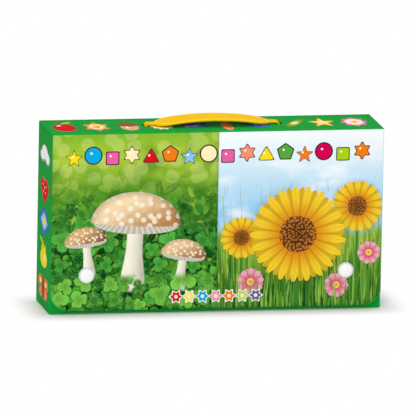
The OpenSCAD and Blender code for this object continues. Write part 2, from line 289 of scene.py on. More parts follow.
class PrintGroups:
    """The shader groups that the card and the print share, each built once."""

    CELL_RANDOMNESS = 0.72
    LAYER_INPUTS = {
        "Under": Kind.COLOUR, "Place": Kind.VECTOR, "Shift": Kind.VECTOR, "Cell": Kind.NUMBER,
        "Length": Kind.NUMBER, "Width": Kind.NUMBER, "Turn": Kind.NUMBER, "Spread": Kind.NUMBER,
        "Dark": Kind.COLOUR, "Light": Kind.COLOUR, "Cover": Kind.NUMBER,
    }

    def __init__(self) -> None:
        """Builds every group."""
        self.card_edges = self._card_edges()
        self.inside_box = self._inside_box()
        self.print_mottle = self._print_mottle()
        self.leaf_layer = self._leaf_layer()
        self.clover_layer = self._clover_layer()
        self.flower_head = self._flower_head()
        self.mushroom = self._mushroom()

    @staticmethod
    def _depths(g: Graph, given: bpy.types.NodeOutputs) -> Tuple[Socket, Socket, Socket]:
        """Gives, for each axis, how far a point lies inside the nearer face of a box."""
        return g.split(g.vector("MINIMUM", g.vector("SUBTRACT", given["Place"], given["Low"]),
                                g.vector("SUBTRACT", given["High"], given["Place"])))

    def _card_edges(self) -> bpy.types.NodeTree:
        """Masks a box's edges: the middle one of a point's depths along the three axes, with rubbed patches.

        Returns:
            The group.
        """
        g, given, out = open_group(
            "card_edges",
            {"Place": Kind.VECTOR, "Low": Kind.VECTOR, "High": Kind.VECTOR, "Width": Kind.NUMBER},
            {"Edge": Kind.NUMBER},
        )
        x, y, z = self._depths(g, given)
        lesser = g.math("MINIMUM", x, y)
        greater = g.math("MAXIMUM", x, y)
        middle = g.math("MAXIMUM", lesser, g.math("MINIMUM", greater, z))
        patchy = g.affine(g.noise(given["Place"], 0.35, 4.0), 0.9, 0.15)
        near = g.smooth(middle, given["Width"], 0.0)
        g.feed(out["Edge"], g.times(near, patchy))
        return g.tree

    def _inside_box(self) -> bpy.types.NodeTree:
        """Masks the points that lie between two corners.

        Returns:
            The group.
        """
        g, given, out = open_group(
            "inside_box", {"Place": Kind.VECTOR, "Low": Kind.VECTOR, "High": Kind.VECTOR},
            {"Inside": Kind.NUMBER},
        )
        x, y, z = self._depths(g, given)
        least = g.math("MINIMUM", g.math("MINIMUM", x, y), z)
        g.feed(out["Inside"], g.smooth(least, -0.05, 0.05))
        return g.tree

    @staticmethod
    def _print_mottle() -> bpy.types.NodeTree:
        """Makes ink and film uneven: a tone near 1, a roughness shift and a fine paper height.

        Returns:
            The group.
        """
        g, given, out = open_group(
            "print_mottle", {"Place": Kind.VECTOR},
            {"Tone": Kind.NUMBER, "Haze": Kind.NUMBER, "Height": Kind.NUMBER},
        )
        broad = g.noise(given["Place"], 0.035, 2.0)
        fine = g.noise(given["Place"], 1.1, 3.0)
        tone = g.affine(broad, 0.07, 0.945)
        g.feed(out["Tone"], g.affine(fine, 0.04, tone))
        g.feed(out["Haze"], g.affine(g.noise(given["Place"], 0.12, 3.0), 0.16, -0.08))
        g.feed(out["Height"], g.math("ADD", fine, g.times(broad, 2.0)))
        return g.tree

    def _cell_parts(self, g: Graph, given: bpy.types.NodeOutputs) -> Tuple[Socket, Socket, Socket]:
        """Scatters one leaf a cell over the sheet, each with its own turn, length and tone.

        Args:
            g: The group's graph.
            given: The layer's inputs.

        Returns:
            The leaf's tone, the point's offset from the leaf's middle in the leaf's own axes, and the length.
        """
        place = g.vector("ADD", given["Place"], given["Shift"])
        cells = g.cells(place, g.math("DIVIDE", 1.0, given["Cell"]), self.CELL_RANDOMNESS)
        chances = g.add("ShaderNodeSeparateColor", {0: cells["Color"]}).outputs
        offset = g.vector("SUBTRACT", place, cells["Position"])
        swing = g.times(g.math("SUBTRACT", chances[0], 0.5), given["Spread"])
        angle = g.times(g.math("ADD", swing, given["Turn"]), -1.0)
        length = g.times(given["Length"], g.affine(chances[1], 0.5, 0.65))
        return g.mix(chances[2], given["Dark"], given["Light"]), g.turned(offset, angle), length

    def _leaf_layer(self) -> bpy.types.NodeTree:
        """Lays pointed leaves over a colour.

        The half width is Width x length x (1 - t^2)(1 - 0.3 t) at the share t along the leaf.

        Returns:
            The group.
        """
        g, given, out = open_group("leaf_layer", self.LAYER_INPUTS, {"Colour": Kind.COLOUR})
        tone, offset, length = self._cell_parts(g, given)
        along, across, _ = g.split(offset)
        t = g.math("DIVIDE", along, length)
        taper = g.math("MAXIMUM", g.math("SUBTRACT", 1.0, g.times(t, t)), 0.002)
        fuller = g.affine(t, -0.3, 1.0)
        half = g.times(g.times(given["Width"], length), g.times(taper, fuller))
        q = g.math("DIVIDE", across, half)
        edge = g.math("ABSOLUTE", q)
        mask = g.times(g.smooth(edge, 1.0, 0.86), g.math("LESS_THAN", g.math("ABSOLUTE", t), 1.0))
        lit = g.scaled(tone, g.affine(g.smooth(q, -1.0, 1.0), 0.34, 0.74))
        ribbed = g.mix(g.times(g.smooth(edge, 0.16, 0.04), 0.45), lit, given["Light"])
        share = g.times(mask, given["Cover"])
        g.feed(out["Colour"], g.mix(share, given["Under"], ribbed))
        return g.tree

    def _clover_layer(self) -> bpy.types.NodeTree:
        """Lays three-lobed leaves with a soft shade below them over a colour.

        The edge's radius is length x (0.3 + 0.7 |cos 1.5 a|^Width) at the angle a.

        Returns:
            The group.
        """
        g, given, out = open_group("clover_layer", self.LAYER_INPUTS, {"Colour": Kind.COLOUR})
        tone, offset, length = self._cell_parts(g, given)
        along, across, _ = g.split(offset)
        angle = g.math("ARCTAN2", across, along)
        lobe = g.math("ABSOLUTE", g.math("COSINE", g.times(angle, 1.5)))
        reach = g.affine(g.math("POWER", lobe, given["Width"]), 0.7, 0.3)
        ratio = g.math("DIVIDE", g.length(offset), g.times(length, reach))
        mask = g.smooth(ratio, 1.0, 0.93)
        lit = g.scaled(tone, g.affine(g.smooth(ratio, 0.0, 1.0), 0.4, 0.68))
        band = g.times(g.smooth(ratio, 0.42, 0.52), g.smooth(ratio, 0.68, 0.54))
        marked = g.mix(g.times(band, 0.35), lit, given["Light"])
        vein = g.times(g.smooth(lobe, 0.96, 0.995), 0.4)
        veined = g.mix(vein, marked, given["Light"])
        share = g.times(mask, given["Cover"])
        shadow = g.times(g.times(g.smooth(ratio, 1.3, 0.98), 0.5), given["Cover"])
        g.feed(out["Colour"], g.mix(share, g.mix(shadow, given["Under"], ink(2, 30, 10)), veined))
        return g.tree

    @staticmethod
    def _flower_head() -> bpy.types.NodeTree:
        """Lays one flower over a colour: a straight stalk, two rings of petals and a dotted middle.

        A petal's tip lies at 1 - 0.5 |q|^2.4 of the radius at the place q across the petal, -1 to 1.

        Returns:
            The group.
        """
        g, given, out = open_group(
            "flower_head",
            {"Under": Kind.COLOUR, "Place": Kind.VECTOR, "Centre": Kind.VECTOR, "Radius": Kind.NUMBER,
             "Petals": Kind.NUMBER, "Turn": Kind.NUMBER, "Heart": Kind.NUMBER, "Inner": Kind.COLOUR,
             "Outer": Kind.COLOUR, "Middle": Kind.COLOUR, "Dots": Kind.COLOUR},
            {"Colour": Kind.COLOUR},
        )
        offset = g.vector("SUBTRACT", given["Place"], given["Centre"])
        wavy = g.affine(g.noise(given["Place"], 0.16, 2.0), 0.16, 0.92)
        r = g.math("DIVIDE", g.length(offset), g.times(given["Radius"], wavy))
        x, y, _ = g.split(offset)
        turns = g.math("DIVIDE", g.math("ADD", g.math("ARCTAN2", y, x), given["Turn"]), FULL_TURN)
        count = g.times(turns, given["Petals"])
        shade = g.mix(g.smooth(r, 0.3, 0.85), given["Inner"], given["Outer"])
        stalk = g.math("LESS_THAN", g.math("ABSOLUTE", x), g.times(given["Radius"], 0.05))
        stalk = g.times(stalk, g.math("LESS_THAN", y, 0.0))
        grown = g.mix(stalk, given["Under"], ink(66, 132, 46))
        colour = g.mix(g.times(g.smooth(r, 1.14, 0.95), 0.16), grown, (0.02, 0.03, 0.0, 1.0))
        for shift, reach, dim in ((0.5, 0.98, 0.72), (0.0, 1.0, 1.0)):
            q = g.affine(g.math("FRACT", g.math("ADD", count, shift)), 2.0, -1.0)
            side = g.math("POWER", g.math("ABSOLUTE", q), 2.4)
            tip = g.times(g.affine(side, -0.5, 1.0), reach)
            mask = g.math("LESS_THAN", r, tip)
            crease = g.affine(g.smooth(g.math("ABSOLUTE", q), 0.16, 0.0), -0.16, dim)
            rounded = g.affine(side, -0.3 * dim, crease)
            colour = g.mix(mask, colour, g.scaled(shade, rounded))
        seeds = g.cells(offset, g.math("DIVIDE", 18.0, given["Radius"]))
        dotted = g.mix(g.smooth(seeds["Distance"], 0.45, 0.25), given["Middle"], given["Dots"])
        bowl = g.scaled(dotted, g.affine(g.smooth(r, 0.0, given["Heart"]), 0.55, 0.6))
        heart = g.smooth(r, given["Heart"], g.times(given["Heart"], 0.93))
        g.feed(out["Colour"], g.mix(heart, colour, bowl))
        return g.tree

    @staticmethod
    def _mushroom() -> bpy.types.NodeTree:
        """Lays one mushroom over a colour: a stem, a flat ellipse of gills and a domed cap with flecks.

        Lengths are shares of the cap's half width.

        Returns:
            The group.
        """
        g, given, out = open_group(
            "mushroom",
            {"Under": Kind.COLOUR, "Place": Kind.VECTOR, "Centre": Kind.VECTOR, "Size": Kind.NUMBER,
             "Lean": Kind.NUMBER, "Dark": Kind.COLOUR, "Light": Kind.COLOUR, "Stem": Kind.COLOUR},
            {"Colour": Kind.COLOUR},
        )
        offset = g.vector("SUBTRACT", given["Place"], given["Centre"])
        unit = g.scaled(g.turned(offset, given["Lean"]), g.math("DIVIDE", 1.0, given["Size"]))
        x, y, _ = g.split(unit)
        width = g.affine(g.smooth(y, -0.4, -1.4), 0.1, 0.19)
        stem = g.times(g.smooth(g.math("ABSOLUTE", x), width, g.math("SUBTRACT", width, 0.03)),
                      g.times(g.smooth(y, -1.5, -1.4), g.smooth(y, 0.1, 0.05)))
        streaks = g.noise(g.join(g.times(x, 26.0), g.times(y, 3.0)), 1.0, 3.0)
        side = g.affine(g.smooth(x, -0.12, 0.26), -0.42, 1.0)
        stem_tone = g.scaled(given["Stem"], g.times(side, g.affine(streaks, 0.3, 0.82)))
        colour = g.mix(stem, given["Under"], stem_tone)
        below = g.length(g.join(g.math("DIVIDE", x, 0.94), g.math("DIVIDE", y, 0.2)))
        folds = g.math("SINE", g.times(g.math("DIVIDE", x, g.math("SUBTRACT", 0.55, y)), 34.0))
        gill_tone = g.scaled(given["Stem"], g.affine(folds, 0.12, 0.6))
        colour = g.mix(g.smooth(below, 1.0, 0.96), colour, gill_tone)
        dome = g.length(g.join(x, g.math("DIVIDE", y, 0.74)))
        rim = g.affine(g.times(x, x), 0.05, -0.04)
        cap = g.times(g.smooth(dome, 1.0, 0.98), g.smooth(y, rim, g.math("ADD", rim, 0.02)))
        lit = g.affine(x, -0.45, g.times(y, 0.8))
        grain = g.affine(g.noise(unit, 7.0, 4.0), 0.5, g.math("SUBTRACT", lit, 0.25))
        tone = g.mix(g.smooth(grain, -0.35, 0.6), given["Dark"], given["Light"])
        fleck = g.smooth(g.cells(unit, 5.2)["Distance"], 0.34, 0.26)
        flecked = g.mix(g.times(fleck, 0.7), tone, given["Stem"])
        shaded = g.scaled(flecked, g.affine(g.smooth(dome, 0.75, 1.0), -0.35, 1.0))
        g.feed(out["Colour"], g.mix(cap, colour, shaded))
        return g.tree


def new_material(name: str) -> Tuple[bpy.types.Material, Graph, bpy.types.Node]:
    """Starts a material with an empty tree and one Principled shader.

    Args:
        name: The material's name.

    Returns:
        The material, the graph to write in and the shader node.
    """
    material = bpy.data.materials.new(name)
    material.use_nodes = True
    material.node_tree.nodes.clear()
    graph = Graph(material.node_tree)
    shader = graph.add("ShaderNodeBsdfPrincipled")
    graph.add("ShaderNodeOutputMaterial", {"Surface": shader.outputs[0]})
    return material, graph, shader


def place_in_mm(graph: Graph) -> Socket:
    """Gives the point's place in the shared frame, in millimetres."""
    return graph.scaled(graph.add("ShaderNodeTexCoord").outputs["Object"], 1.0 / MM)


def shown_rays(graph: Graph) -> Socket:
    """Gives 1 for the rays of the camera, of mirrors and of glass, and 0 for those that only light."""
    path = graph.add("ShaderNodeLightPath").outputs
    mirrored = graph.math("MAXIMUM", path["Is Glossy Ray"], path["Is Transmission Ray"])
    return graph.math("MAXIMUM", path["Is Camera Ray"], mirrored)


def surface(graph: Graph, shader: bpy.types.Node, colour: Socket, roughness: Value,
            level: float = SHEEN) -> None:
    """Feeds the shader's colour and roughness and sets its specular level.

    Args:
        graph: The material's graph.
        shader: The Principled shader.
        colour: The base colour.
        roughness: The roughness.
        level: The specular level.
    """
    graph.feed(shader.inputs["Base Color"], colour)
    graph.feed(shader.inputs["Roughness"], roughness)
    shader.inputs["Specular IOR Level"].default_value = level


def bump(graph: Graph, shader: bpy.types.Node, height: Socket, strength: float) -> None:
    """Feeds a height of about 0 to 1 through a Bump node to the shader's normal.

    Args:
        graph: The material's graph.
        shader: The Principled shader.
        height: The height.
        strength: Share of the bump that shows.
    """
    node = graph.add("ShaderNodeBump", {"Strength": strength, "Distance": GRAIN_DEPTH, "Height": height})
    graph.feed(shader.inputs["Normal"], node.outputs[0])


@dataclass(frozen=True)
class Block:
    """A box in millimetres, by its low and high corner."""

    low: Triple
    high: Triple

    @staticmethod
    def of(node: str) -> "Block":
        """Reads a CAD node's box."""
        low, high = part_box(node)
        return Block(tuple(v / MM for v in low), tuple(v / MM for v in high))

    def shrunk(self, x: float, y: float, z: float) -> "Block":
        """Draws the box in by a length on each side of each axis."""
        low = (self.low[0] + x, self.low[1] + y, self.low[2] + z)
        return Block(low, (self.high[0] - x, self.high[1] - y, self.high[2] - z))


@dataclass(frozen=True)
class CardFinish:
    """Board wrapped in printed and gloss-laminated paper, with an unprinted lining inside and cuts whose raw
    board brown is darkened near black as painted shade.
    """

    name: str
    colour: Colour
    worn: Colour = Ink.GREEN_PALE.value
    lining: Colour = Ink.LINING.value
    # The cut's colour: raw board brown, darkened near black with painted shade.
    bare_board_and_shade: Colour = ink(44, 36, 30)
    worn_width: float = 1.6
    worn_share: float = 0.3
    lining_rough: float = 0.3
    grain: float = 0.12

    def material(self, groups: PrintGroups, outer: Block, inner: Optional[Block] = None,
                 cut: Optional[Block] = None) -> bpy.types.Material:
        """Makes the material of one wrapped board.

        Args:
            groups: The shared shader groups.
            outer: The board's box, for the worn edges.
            inner: The box of the lining, or None where there is none.
            cut: The box of a cut, on both sides alike, whose raw board is painted dark brown with painted
                shade, or None.

        Returns:
            The material.
        """
        material, g, shader = new_material(self.name)
        place = place_in_mm(g)
        mottle = g.group(groups.print_mottle, {"Place": place})
        edge = g.group(groups.card_edges, {"Place": place, "Low": outer.low, "High": outer.high,
                                           "Width": self.worn_width})[0]
        inked = g.scaled(self.colour, mottle["Tone"])
        colour = g.mix(g.times(edge, self.worn_share), inked, self.worn)
        rough = g.math("ADD", mottle["Haze"], FILM_ROUGHNESS)
        if inner:
            inside = g.group(groups.inside_box, {"Place": place, "Low": inner.low, "High": inner.high})[0]
            colour = g.mix(inside, colour, g.scaled(self.lining, mottle["Tone"]))
            rough = g.affine(inside, self.lining_rough, rough)
        if cut:
            # Painted shade: the cut's raw board is painted far darker than the board itself, as the slit's
            # shade.
            both = g.vector("ABSOLUTE", place)
            bare_board_and_shade = g.group(groups.inside_box, {"Place": both, "Low": cut.low, "High": cut.high})[0]
            colour = g.mix(bare_board_and_shade, colour, self.bare_board_and_shade)
        surface(g, shader, colour, rough)
        bump(g, shader, mottle["Height"], self.grain)
        return material


class PaintedRim(Enum):
    """Where a plastic piece has its painted light: a painted highlight where its mesh marks it, or a painted
    grey shade in a ring round the studs' axes.
    """

    MESH = "mesh"
    STUD = "stud"


@dataclass(frozen=True)
class PlasticFinish:
    """Glossy moulded plastic with a slight flow mottle and a rim of another tone, which is painted light: a
    painted highlight on the strap's beads and a painted shade round the studs' domes.
    """

    name: str
    colour: Colour
    # The rim's colour is painted light: lighter for the strap's highlight, grey for the studs' shade.
    rim: Colour
    roughness: float = 0.42
    rough_swing: float = 0.12
    grain: float = 0.08
    stud: Tuple[float, float] = (0.0, 0.0)
    # Radii over which the studs' painted shade rises towards the rim.
    ring: Tuple[float, float] = (4.2, 6.4)

    def _painted_rim(self, g: Graph, place: Socket, kind: PaintedRim) -> Socket:
        """Gives the share of the rim's painted tone: the mesh's mark for the strap's painted highlight, or a
        ring by the distance from the stud's axis for the studs' painted shade.

        Args:
            g: The material's graph.
            place: The point in millimetres.
            kind: Where the rim lies.

        Returns:
            The share.
        """
        if kind is PaintedRim.MESH:
            return g.add("ShaderNodeAttribute", attribute_name="rim").outputs["Fac"]
        x, _, z = g.split(place)
        across = g.math("SUBTRACT", g.math("ABSOLUTE", x), self.stud[0])
        return g.smooth(g.length(g.join(across, g.math("SUBTRACT", z, self.stud[1]))), *self.ring)

    def material(self, kind: PaintedRim) -> bpy.types.Material:
        """Makes the material.

        Args:
            kind: Where the rim lies.

        Returns:
            The material.
        """
        material, g, shader = new_material(self.name)
        place = place_in_mm(g)
        flow = g.noise(place, 0.09, 2.0)
        pebble = g.noise(place, 2.6, 2.0)
        toned = g.scaled(self.colour, g.affine(flow, 0.1, 0.95))
        rough = g.affine(pebble, self.rough_swing, self.roughness - self.rough_swing / 2.0)
        surface(g, shader, g.mix(self._painted_rim(g, place, kind), toned, self.rim), rough)
        bump(g, shader, pebble, self.grain)
        return material


@dataclass(frozen=True)
class LeafFinish:
    """Trimmed board leaves: pale cut edges with a darker core of grey board and slight yellowing."""

    name: str = "page_board"
    face: Colour = ink(238, 234, 222)
    core: Colour = ink(206, 198, 178)
    stretch: Triple = (0.5, 6.0, 0.5)
    level: float = 0.2
    grain: float = 0.2

    def material(self) -> bpy.types.Material:
        """Makes the material.

        Returns:
            The material.
        """
        material, g, shader = new_material(self.name)
        place = place_in_mm(g)
        fibres = g.noise(g.vector("MULTIPLY", place, self.stretch), 1.0, 4.0)
        tone = g.mix(g.smooth(fibres, 0.35, 0.75), self.face, self.core)
        surface(g, shader, tone, g.affine(fibres, 0.2, 0.6), self.level)
        bump(g, shader, fibres, self.grain)
        return material


@dataclass(frozen=True)
class InkFinish:
    """Printed fields of colour, read from the mesh's own ink attribute."""

    name: str

    def material(self, groups: PrintGroups) -> bpy.types.Material:
        """Makes the material.

        Args:
            groups: The shared shader groups.

        Returns:
            The material.
        """
        material, g, shader = new_material(self.name)
        mottle = g.group(groups.print_mottle, {"Place": place_in_mm(g)})
        field = g.add("ShaderNodeAttribute", attribute_name="ink").outputs["Color"]
        surface(g, shader, g.scaled(field, mottle["Tone"]), g.math("ADD", mottle["Haze"], FILM_ROUGHNESS))
        return material


class Half(Enum):
    """The two halves of the flap's print."""

    LEFT = "left"
    RIGHT = "right"


class PrintedLayer:
    """Something that one shader group prints over a colour."""

    def inputs(self, g: Graph, z: Socket) -> Dict[str, Value]:
        """Gives the group's own inputs at the height z."""
        raise NotImplementedError

    def over(self, g: Graph, tree: bpy.types.NodeTree, under: Socket, place: Socket, z: Socket) -> Socket:
        """Prints the layer over a colour.

        Args:
            g: The material's graph.
            tree: The group that draws the layer.
            under: The colour below.
            place: The point on the face.
            z: The point's height.

        Returns:
            The colour with the layer.
        """
        return g.group(tree, {"Under": under, "Place": place, **self.inputs(g, z)})[0]


@dataclass(frozen=True)
class Growth(PrintedLayer):
    """Leaves, with the heights at which they start and are full; lengths in millimetres."""

    shift: Tuple[float, float]
    cell: float
    length: float
    width: float
    dark: Colour
    light: Colour
    fade: Tuple[float, float]
    turn: float = 0.0
    spread: float = FULL_TURN

    def inputs(self, g: Graph, z: Socket) -> Dict[str, Value]:
        """Gives the inputs of the leaf or clover group."""
        return {"Shift": (*self.shift, 0.0), "Cell": self.cell, "Length": self.length, "Width": self.width,
                "Turn": self.turn, "Spread": self.spread, "Dark": self.dark, "Light": self.light,
                "Cover": g.smooth(z, *self.fade)}


@dataclass(frozen=True)
class Grass(Growth):
    """Upright blades."""

    turn: float = QUARTER_TURN
    spread: float = 0.7


@dataclass(frozen=True)
class PrintedMushroom(PrintedLayer):
    """One mushroom: its cap's middle and half width in millimetres, its lean and the cap's tones."""

    centre: Tuple[float, float]
    size: float
    lean: float
    dark: Colour
    light: Colour
    stem: Colour = ink(254, 248, 228)

    def inputs(self, g: Graph, z: Socket) -> Dict[str, Value]:
        """Gives the inputs of the mushroom group."""
        return {"Centre": (*self.centre, 0.0), "Size": self.size, "Lean": self.lean, "Dark": self.dark,
                "Light": self.light, "Stem": self.stem}


@dataclass(frozen=True)
class FlowerInks:
    """The inks of one kind of flower and the share of its radius that its middle takes."""

    inner: Colour
    outer: Colour
    middle: Colour
    dots: Colour
    heart: float


class FlowerKind(Enum):
    """The kinds of flower in the grass."""

    SUNFLOWER = FlowerInks(ink(226, 138, 26), ink(250, 208, 48), ink(96, 56, 26), ink(190, 122, 50), 0.4)
    COSMOS = FlowerInks(ink(226, 96, 130), ink(246, 176, 190), ink(240, 190, 60), ink(255, 226, 130), 0.28)


@dataclass(frozen=True)
class PrintedFlower(PrintedLayer):
    """One flower: its kind, its middle and radius in millimetres, its petals and its turn."""

    kind: FlowerKind
    centre: Tuple[float, float]
    radius: float
    petals: float
    turn: float

    def inputs(self, g: Graph, z: Socket) -> Dict[str, Value]:
        """Gives the inputs of the flower group."""
        inks = self.kind.value
        return {"Centre": (*self.centre, 0.0), "Radius": self.radius, "Petals": self.petals,
                "Turn": self.turn, "Heart": inks.heart, "Inner": inks.inner, "Outer": inks.outer,
                "Middle": inks.middle, "Dots": inks.dots}


@dataclass(frozen=True)
class MeadowPicture:
    """The flap's front print: mushrooms in clover on the left, sunflowers in grass on the right.

    Lengths are millimetres on the flap's face, x across and z up.
    """

    groups: PrintGroups
    height: float = 147.0
    grain: float = 0.12
    blade_squeeze: float = 0.26

    def _left(self, g: Graph, place: Socket, z: Socket) -> Socket:
        """Paints the shaded wood floor with clover and mushrooms.

        Args:
            g: The material's graph.
            place: The point on the face, in millimetres.
            z: Its height.

        Returns:
            The colour.
        """
        haze = g.noise(place, 0.035, 3.0)
        level = g.math("DIVIDE", g.affine(haze, 44.0, g.math("SUBTRACT", z, 22.0)), self.height)
        colour = g.ramp(level, ((0.0, ink(4, 34, 12)), (0.4, ink(22, 86, 28)), (0.68, ink(92, 156, 40)),
                                (0.85, ink(172, 204, 62)), (1.0, ink(132, 184, 46))))
        blot = g.times(g.smooth(g.noise(place, 0.03, 2.0), 0.5, 0.66), 0.6)
        colour = g.mix(blot, colour, ink(50, 122, 32))
        spot = g.smooth(g.cells(place, 0.07)["Distance"], 0.42, 0.34)
        glow = g.times(g.times(spot, g.smooth(z, 88.0, 118.0)), 0.24)
        colour = g.mix(glow, colour, ink(232, 236, 150))
        leaves, clover, mushroom = self.groups.leaf_layer, self.groups.clover_layer, self.groups.mushroom
        layers = (
            (leaves, Growth((3.0, 8.0), 13.0, 9.0, 0.36, ink(58, 126, 36), ink(150, 196, 70), (124.0, 92.0))),
            (clover, Growth((41.0, 5.0), 12.0, 7.4, 0.5, ink(24, 94, 32), ink(104, 178, 54), (112.0, 84.0))),
            (leaves, Growth((7.0, 60.0), 10.0, 7.4, 0.4, ink(4, 42, 16), ink(66, 150, 46), (104.0, 72.0))),
            (clover, Growth((90.0, 33.0), 14.0, 8.6, 0.5, ink(8, 82, 32), ink(92, 188, 70), (96.0, 60.0))),
            (mushroom, PrintedMushroom((-106.0, 58.0), 18.0, -0.12, Ink.BROWN.value, Ink.TAN.value)),
            (mushroom, PrintedMushroom((-66.0, 72.0), 37.0, 0.05, ink(186, 128, 76), ink(250, 222, 178))),
            (mushroom, PrintedMushroom((-27.0, 46.0), 19.0, 0.14, ink(160, 106, 62), ink(242, 204, 152))),
            (clover, Growth((12.0, 71.0), 13.0, 9.0, 0.5, ink(12, 100, 38), ink(128, 206, 78), (34.0, 27.0))),
        )
        for tree, layer in layers:
            colour = layer.over(g, tree, colour, place, z)
        return colour

    def _right(self, g: Graph, place: Socket, x: Socket, z: Socket) -> Socket:
        """Paints the open meadow with sky, grass and flowers.

        Args:
            g: The material's graph.
            place: The point on the face, in millimetres.
            x: Its place across.
            z: Its height.

        Returns:
            The colour.
        """
        level = g.math("DIVIDE", z, self.height)
        sky = g.ramp(level, ((0.3, ink(196, 226, 240)), (0.55, ink(146, 204, 242)), (0.8, ink(212, 236, 250)),
                             (0.97, ink(246, 251, 254))))
        cloud = g.noise(g.vector("MULTIPLY", place, (0.018, 0.036, 0.0)), 1.0, 4.0)
        sky = g.mix(g.times(g.smooth(cloud, 0.46, 0.68), 0.85), sky, ink(252, 254, 255))
        streak = g.smooth(g.noise(g.vector("MULTIPLY", place, (0.3, 0.035, 0.0)), 1.0, 3.0), 0.3, 0.7)
        far = g.mix(streak, ink(78, 138, 36), ink(168, 198, 78))
        deep = g.mix(streak, ink(14, 64, 22), ink(78, 144, 40))
        field = g.mix(g.smooth(z, 56.0, 16.0), far, deep)
        rolling = g.noise(g.vector("MULTIPLY", place, (0.05, 0.0, 0.0)), 1.0, 3.0)
        colour = g.mix(g.smooth(g.affine(rolling, 26.0, z), 84.0, 72.0), sky, field)
        upright = g.join(x, g.times(z, self.blade_squeeze))
        blade = self.groups.leaf_layer
        behind = (
            Grass((51.0, 17.0), 8.4, 8.0, 0.05, ink(104, 158, 70), ink(176, 206, 112), (112.0, 84.0)),
            Grass((5.0, 3.0), 5.2, 4.6, 0.16, ink(88, 148, 44), ink(182, 208, 92), (78.0, 62.0)),
            Grass((31.0, 9.0), 5.8, 5.2, 0.15, ink(30, 104, 34), ink(124, 182, 58), (70.0, 46.0)),
            Grass((77.0, 1.0), 5.0, 4.8, 0.16, ink(12, 74, 28), ink(98, 168, 52), (54.0, 30.0)),
        )
        flowers = (
            PrintedFlower(FlowerKind.SUNFLOWER, (20.0, 60.0), 17.0, 15.0, 0.3),
            PrintedFlower(FlowerKind.SUNFLOWER, (114.0, 84.0), 21.0, 17.0, 0.1),
            PrintedFlower(FlowerKind.SUNFLOWER, (66.0, 62.0), 39.0, 21.0, 0.0),
            PrintedFlower(FlowerKind.COSMOS, (28.0, 24.0), 11.0, 9.0, 0.2),
            PrintedFlower(FlowerKind.COSMOS, (124.0, 46.0), 9.5, 9.0, 0.7),
            PrintedFlower(FlowerKind.COSMOS, (98.0, 20.0), 10.0, 9.0, 0.4),
        )
        front = Grass((13.0, 44.0), 5.6, 5.0, 0.17, ink(40, 124, 44), ink(150, 204, 84), (32.0, 14.0),
                      spread=0.8)
        for growth in behind:
            colour = growth.over(g, blade, colour, upright, z)
        for flower in flowers:
            colour = flower.over(g, self.groups.flower_head, colour, place, z)
        return front.over(g, blade, colour, upright, z)

    def material(self, side: Half) -> bpy.types.Material:
        """Makes the print of one half.

        Args:
            side: The half of the flap.

        Returns:
            The material.
        """
        material, g, shader = new_material(f"print_{side.value}")
        place = place_in_mm(g)
        x, _, z = g.split(place)
        sheet = g.join(x, z)
        if side is Half.LEFT:
            picture = self._left(g, sheet, z)
        else:
            picture = self._right(g, sheet, x, z)
        mottle = g.group(self.groups.print_mottle, {"Place": place})
        surface(g, shader, g.scaled(picture, mottle["Tone"]), g.math("ADD", mottle["Haze"], FILM_ROUGHNESS))
        bump(g, shader, mottle["Height"], self.grain)
        return material


def grid_quads(rows: int, columns: int, wrap: bool) -> np.ndarray:
    """Joins a grid of points, numbered row by row, into quads.

    Args:
        rows: Rows of points.
        columns: Points in a row.
        wrap: Whether the last point of a row joins the first.

    Returns:
        An array of four point numbers a face.
    """
    row = np.arange(rows - 1)[:, None]
    column = np.arange(columns if wrap else columns - 1)[None, :]
    following = (column + 1) % columns
    corners = [row * columns + column, row * columns + following,
               (row + 1) * columns + following, (row + 1) * columns + column]
    return np.stack(corners, axis=-1).reshape(-1, 4)


def make_piece(name: str, points: np.ndarray, quads: np.ndarray, material: bpy.types.Material,
               marks: Optional[Dict[str, np.ndarray]] = None, smooth: bool = True) -> bpy.types.Object:
    """Puts points in millimetres and their quads into a new mesh piece at the origin.

    Args:
        name: The piece's name.
        points: Points, any shape that ends in three.
        quads: Four point numbers a face.
        material: The piece's material.
        marks: Attributes of the points: one number, or a colour of four, for each.
        smooth: Whether the faces are shaded smooth.

    Returns:
        The new object, with closed poles and faces that point outwards.
    """
    mesh = bpy.data.meshes.new(name)
    mesh.from_pydata((points.reshape(-1, 3) * MM).tolist(), [], quads.tolist())
    for label, values in (marks or {}).items():
        coloured = values.ndim > 1
        kind = "FLOAT_COLOR" if coloured else "FLOAT"
        layer = mesh.attributes.new(label, kind, "POINT")
        layer.data.foreach_set("color" if coloured else "value", values.astype(np.float32).ravel())
    work = bmesh.new()
    work.from_mesh(mesh)
    bmesh.ops.remove_doubles(work, verts=work.verts, dist=MERGE_DISTANCE)
    bmesh.ops.recalc_face_normals(work, faces=work.faces)
    work.to_mesh(mesh)
    work.free()
    mesh.polygons.foreach_set("use_smooth", np.full(len(mesh.polygons), smooth))
    mesh.materials.append(material)
    piece = bpy.data.objects.new(name, mesh)
    bpy.context.scene.collection.objects.link(piece)
    LOG.info("%s: %d faces", name, len(mesh.polygons))
    return piece


def closed_film(top: np.ndarray, bottom: np.ndarray) -> Tuple[np.ndarray, np.ndarray]:
    """Joins two grids of the same size into one closed film, with a rim round their common outline.

    Args:
        top: Grid of points of the upper face, rows by columns by three.
        bottom: Grid of the lower face.

    Returns:
        The points and the quads.
    """
    rows, columns = top.shape[:2]
    number = np.arange(rows * columns).reshape(rows, columns)
    faces = grid_quads(rows, columns, False)
    ring = np.concatenate([number[0, :-1], number[:-1, -1], number[-1, :0:-1], number[:0:-1, 0]])
    following = np.roll(ring, -1)
    below = rows * columns
    rim = np.stack([ring, following, following + below, ring + below], axis=-1)
    points = np.concatenate([top.reshape(-1, 3), bottom.reshape(-1, 3)])
    return points, np.concatenate([faces, faces[:, ::-1] + below, rim])


